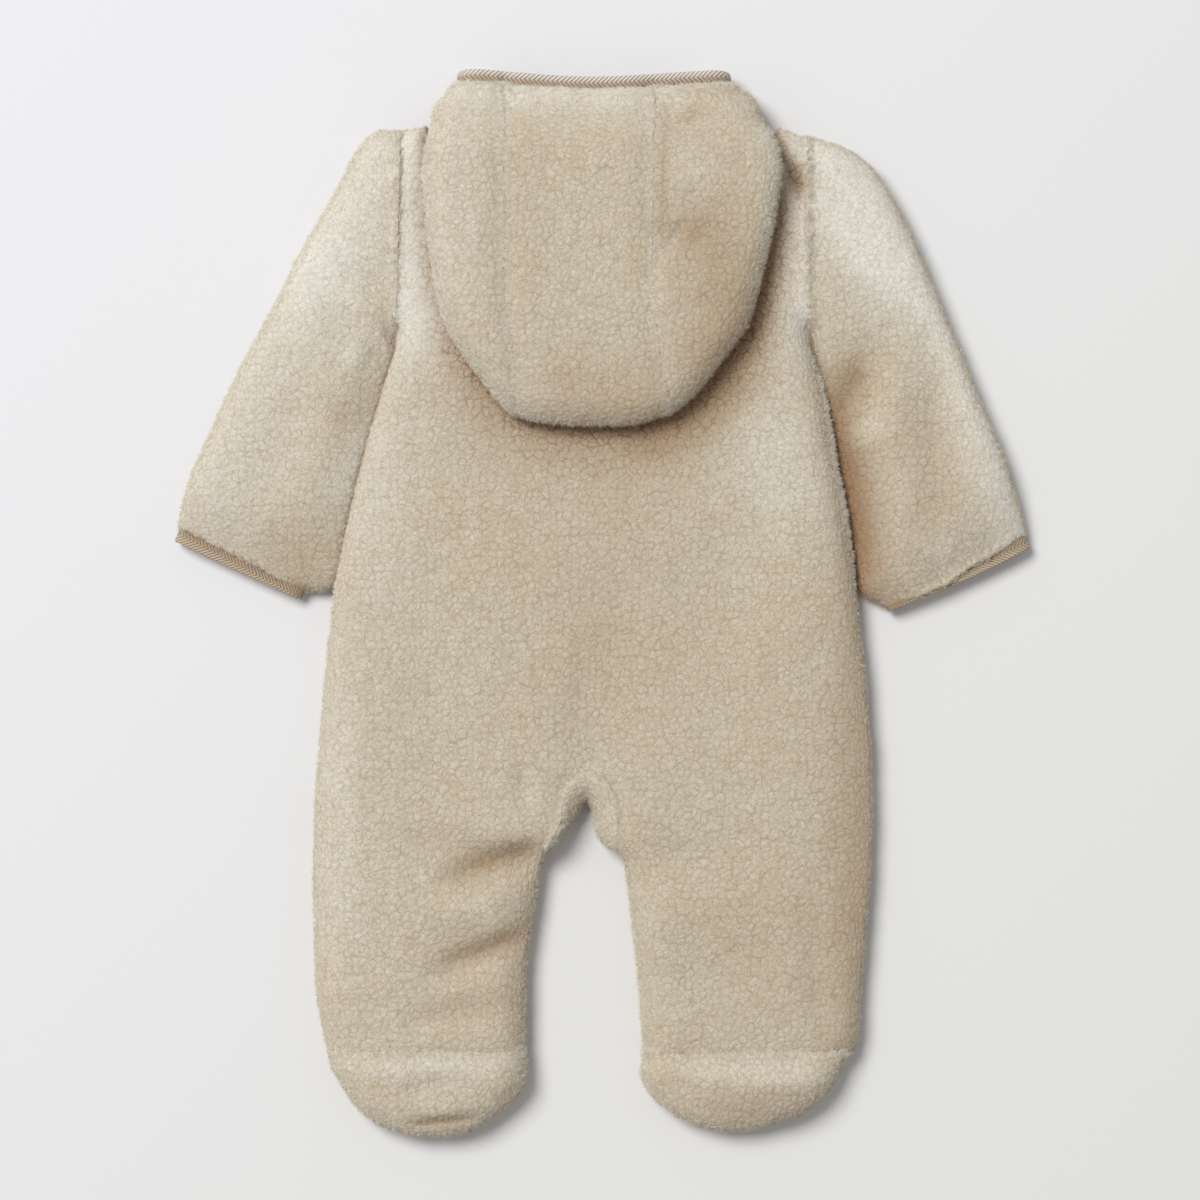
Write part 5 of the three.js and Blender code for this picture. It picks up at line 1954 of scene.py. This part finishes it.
@dataclass
class Hood:
    """The three panel hood thrown back, with a twill binding round the face edge."""

    kit: Kit
    folds: tuple[Crease, ...] = (
        Crease(((44, 286), (50, 281)), 3.0, 9, 9),
        Crease(((41, 216), (47, 211)), 3.0, 9, 9),
        Crease(((50, 252), (58, 244)), -1.5, 11, 11),
        Crease(((37, 196), (38, 165)), -1.2, 5, 5),
    )
    level: tuple[float, float] = (36, 48)
    # Patches of painted shade where their depth is above 0 and of painted light where it is below
    # 0.
    light_shade_patches: tuple[Crease, ...] = (
        Crease(((-88, 290), (-90, 190)), -0.3, 26, 26, 0),
        Crease(((36, 288), (34, 215)), 0.35, 3, 3, 0.3),
        Crease(((62, 270), (70, 190)), 0.22, 28, 28),
        Crease(((-80, 296), (60, 296)), -0.5, 10, 10),
        Crease(((98, 285), (102, 230), (100, 190)), -0.6, 10, 10),
        Crease(((54, 250), (62, 244)), -0.4, 12, 12),
        Crease(((48, 287), (56, 280)), 0.4, 12, 12),
        Crease(((46, 218), (58, 210)), 0.4, 12, 12),
        Crease(((-40, 130), (10, 112), (40, 125)), 0.35, 26, 26),
        Crease(((62, 210), (74, 165), (50, 125)), 0.5, 24, 24),
        Crease(((-55, 270), (-50, 180)), 0.15, 20, 20),
    )
    corners: tuple[Shift, ...] = (
        Shift(Crease(((-93, 296), (-99, 280)), 3.2, 13, 13), (-0.85, 0.5), 2),
        Shift(Crease(((84, 300), (92, 284)), 3.2, 13, 13), (0.85, 0.5), 2),
    )
    edge: float = 2.3 * MM
    tape_edge: float = TAPE_EDGE
    tape_level: float = 7 * MM
    tape_turn: float = 6 * MM
    rim_step: float = 5 * MM

    @property
    def panels(self) -> tuple[Panel, ...]:
        """Lists the three panels.

        Returns:
            The panels with their cuts and folds.
        """
        cuts = (
            ("hood_centre", (0.1, 0.38), 0.0349),
            ("hood_side_left", (0.15, 0.2), 0.0177),
            ("hood_side_right", (0.17, 0.2), 0.0257),
        )
        return tuple(
            Panel(
                node,
                flat=flat,
                area=area,
                edge=self.edge,
                fibres=50000,
                rests_on=("back",),
                folds=self.folds,
                level=self.level,
                shifts=self.corners,
                light_shade_patches=self.light_shade_patches,
                seam=-0.4,
            )
            for node, flat, area in cuts
        )

    def prepare(self) -> None:
        """Refines the panels and lays their folds."""
        walls = {panel.node for panel in self.panels}
        self.kit.prepare(self.panels, walls, walls)

    def build(self) -> None:
        """Makes the panels and the binding."""
        for seed, panel in enumerate(self.panels, start=20):
            self.kit.make(panel.node, seed)
        self.binding()

    def rim(self, x: np.ndarray, y: np.ndarray) -> np.ndarray:
        """Gives the binding's outer edge.

        Args:
            x: The places' x.
            y: Their y.

        Returns:
            The edge's y at each place.
        """
        bins = ((x - x.min()) / self.rim_step).astype(int)
        edge = np.array([y[bins == b].max() for b in range(bins.max() + 1)])
        return np.interp(x, x.min() + (np.arange(len(edge)) + 0.5) * self.rim_step, edge)

    def binding(self) -> bpy.types.Object:
        """Makes the face edge's binding.

        Returns:
            The piece.
        """
        node = "hood_binding"
        skin = self.kit.skins[node]
        skin.fine = np.ones(len(skin.faces), bool)
        while skin.split(self.tape_edge):
            pass
        piece = skin.build(f"{node}_tape", [TWILL_GREIGE.material()])
        x, y, z = skin.points.T
        drop = np.maximum(0, z.max() - self.tape_level - z)
        first, last = x < x.min() + self.tape_turn, x > x.max() - self.tape_turn
        along = x + np.where(first, -drop, 0) + np.where(last, drop, 0)
        across = y - self.rim(x, y) + 2 * TWILL_GREIGE.middle
        keep(piece, {REST: skin.points, ALONG: along, ACROSS: across})
        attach(piece, BODY)
        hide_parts(node)
        LOG.info("%s: %d triangles", piece.name, len(skin.faces))
        return piece


@dataclass
class Zip:
    """The front zip on the underside: two tapes, the chain, the slider and the pull tab."""

    kit: Kit
    tapes: tuple[str, ...] = ("zip_tape_left", "zip_tape_right")
    metal: tuple[str, ...] = ("zip_chain", "zip_slider", "zip_pull")

    def build(self) -> None:
        """Dresses the zip's own solids."""
        finishes = ((self.tapes, WovenFinish()), (self.metal, MetalFinish()))
        for nodes, finish in finishes:
            material = finish.material()
            for node in nodes:
                for slot in self.kit.frame["nodes"][node].material_slots:
                    slot.material = material
                LOG.info("%s dressed", node)


# ---------------------------------------------------------------------------------------------
# The studio


@dataclass(frozen=True)
class Studio:
    """Pale floor with painted shade growing towards the lower right, soft light from the upper
    left and a camera straight above.
    """

    width: float = 0.702
    camera_height: float = 2.3
    middle: tuple[float, float] = (-1.4 * MM, 1.8 * MM)
    sensor: float = 36.0
    cloth_height: float = 12 * MM
    floor_size: float = 8.0
    floor_drop: float = 0.1 * MM
    floor_pale: Colour = (0.86, 0.86, 0.88)
    floor_shade: Colour = (0.83, 0.825, 0.805)
    shade_drift: float = 0.7
    key_turn: float = LIGHT_TURN
    key_rise: float = math.radians(55)
    key_away: float = 9.0
    key_size: float = 4.5
    key_power: float = 638.0
    fill_strength: float = 0.34

    def floor(self) -> None:
        """Lays the floor, with shade painted into it from the upper left to the lower right."""
        half = self.floor_size / 2
        mesh = bpy.data.meshes.new("floor")
        corners = [(-half, -half, 0), (half, -half, 0), (half, half, 0), (-half, half, 0)]
        mesh.from_pydata(corners, [], [(0, 1, 2, 3)])
        floor = bpy.data.objects.new("floor", mesh)
        floor.location.z = -self.floor_drop
        bpy.context.scene.collection.objects.link(floor)
        material, tree = new_material("studio_floor")
        across, along = tree.flat_parts(tree.position())
        # Painted shade: the floor darkens and warms from the upper left to the lower right, as
        # the light falls off.
        shade_drift = (across - along).ramp(-self.shade_drift, self.shade_drift)
        base = tree.mixed(shade_drift, self.floor_pale, self.floor_shade)
        dress(tree, {"Base Color": base, "Roughness": 0.9, "Specular IOR Level": 0.1})
        mesh.materials.append(material)
        floor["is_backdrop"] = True

    def lights(self) -> None:
        """Sets the key light and the even fill."""
        lamp = bpy.data.lights.new("key", "AREA")
        lamp.shape = "DISK"
        lamp.size = self.key_size
        lamp.energy = self.key_power
        key = bpy.data.objects.new("key", lamp)
        way = towards(self.key_turn, self.key_rise)
        key.location = way * self.key_away
        key.rotation_euler = way.to_track_quat("Z", "Y").to_euler()
        bpy.context.scene.collection.objects.link(key)
        world = bpy.data.worlds.new("studio")
        world.use_nodes = True
        tree = Tree(world.node_tree)
        sockets = {"Color": (1.0, 1.0, 1.0, 1.0), "Strength": self.fill_strength}
        fill = tree.node("ShaderNodeBackground", None, sockets)
        tree.node("ShaderNodeOutputWorld", None, {"Surface": fill})
        bpy.context.scene.world = world

    def camera(self) -> None:
        """Hangs the camera over the suit."""
        lens = bpy.data.cameras.new("camera")
        lens.sensor_width = self.sensor
        lens.lens = self.sensor * (self.camera_height - self.cloth_height) / self.width
        camera = bpy.data.objects.new("camera", lens)
        camera.location = (*self.middle, self.camera_height)
        bpy.context.scene.collection.objects.link(camera)
        bpy.context.scene.camera = camera

    def build(self) -> None:
        """Sets up the whole studio with plain colour handling."""
        self.floor()
        self.lights()
        self.camera()
        bpy.context.scene.view_settings.view_transform = "Standard"


PILE_NODES = (
    "back",
    "front_left",
    "front_right",
    "sole_left",
    "sole_right",
    "crotch_gusset",
    "sleeve_left",
    "sleeve_right",
    "hood_centre",
    "hood_side_left",
    "hood_side_right",
)
TAPE_NODES = ("cuff_binding_left", "cuff_binding_right", "hood_binding")


def corners() -> list[list[float]]:
    """Gives the lowest and highest corner of what shows, as plain lists."""
    return [list(corner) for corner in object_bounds()]


def main() -> None:
    """Builds the suit and its studio in order."""
    logging.basicConfig(level=logging.INFO, format="%(name)s: %(message)s")
    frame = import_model()
    skins = {name: Skin.of(frame["nodes"][name]) for name in (*PILE_NODES, *TAPE_NODES)}
    finish = PileFinish()
    kit = Kit(
        frame=frame,
        skins=skins,
        views=Views(skins),
        pile=finish.material(),
        fibres=finish.fibres(),
        lining=JerseyFinish().material(),
        relief=Relief(finish),
        hollow_shading=HollowShading(),
        plain={name: (skin.points, skin.faces) for name, skin in skins.items()},
    )
    parts = (BodyAndLegs(kit), Sleeves(kit), Hood(kit))
    for part in parts:
        part.prepare()
    kit.hollow_shading.survey(list(skins.values()))
    for part in parts:
        part.build()
    Zip(kit).build()
    Studio().build()
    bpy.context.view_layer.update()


if __name__ == "__main__":
    main()
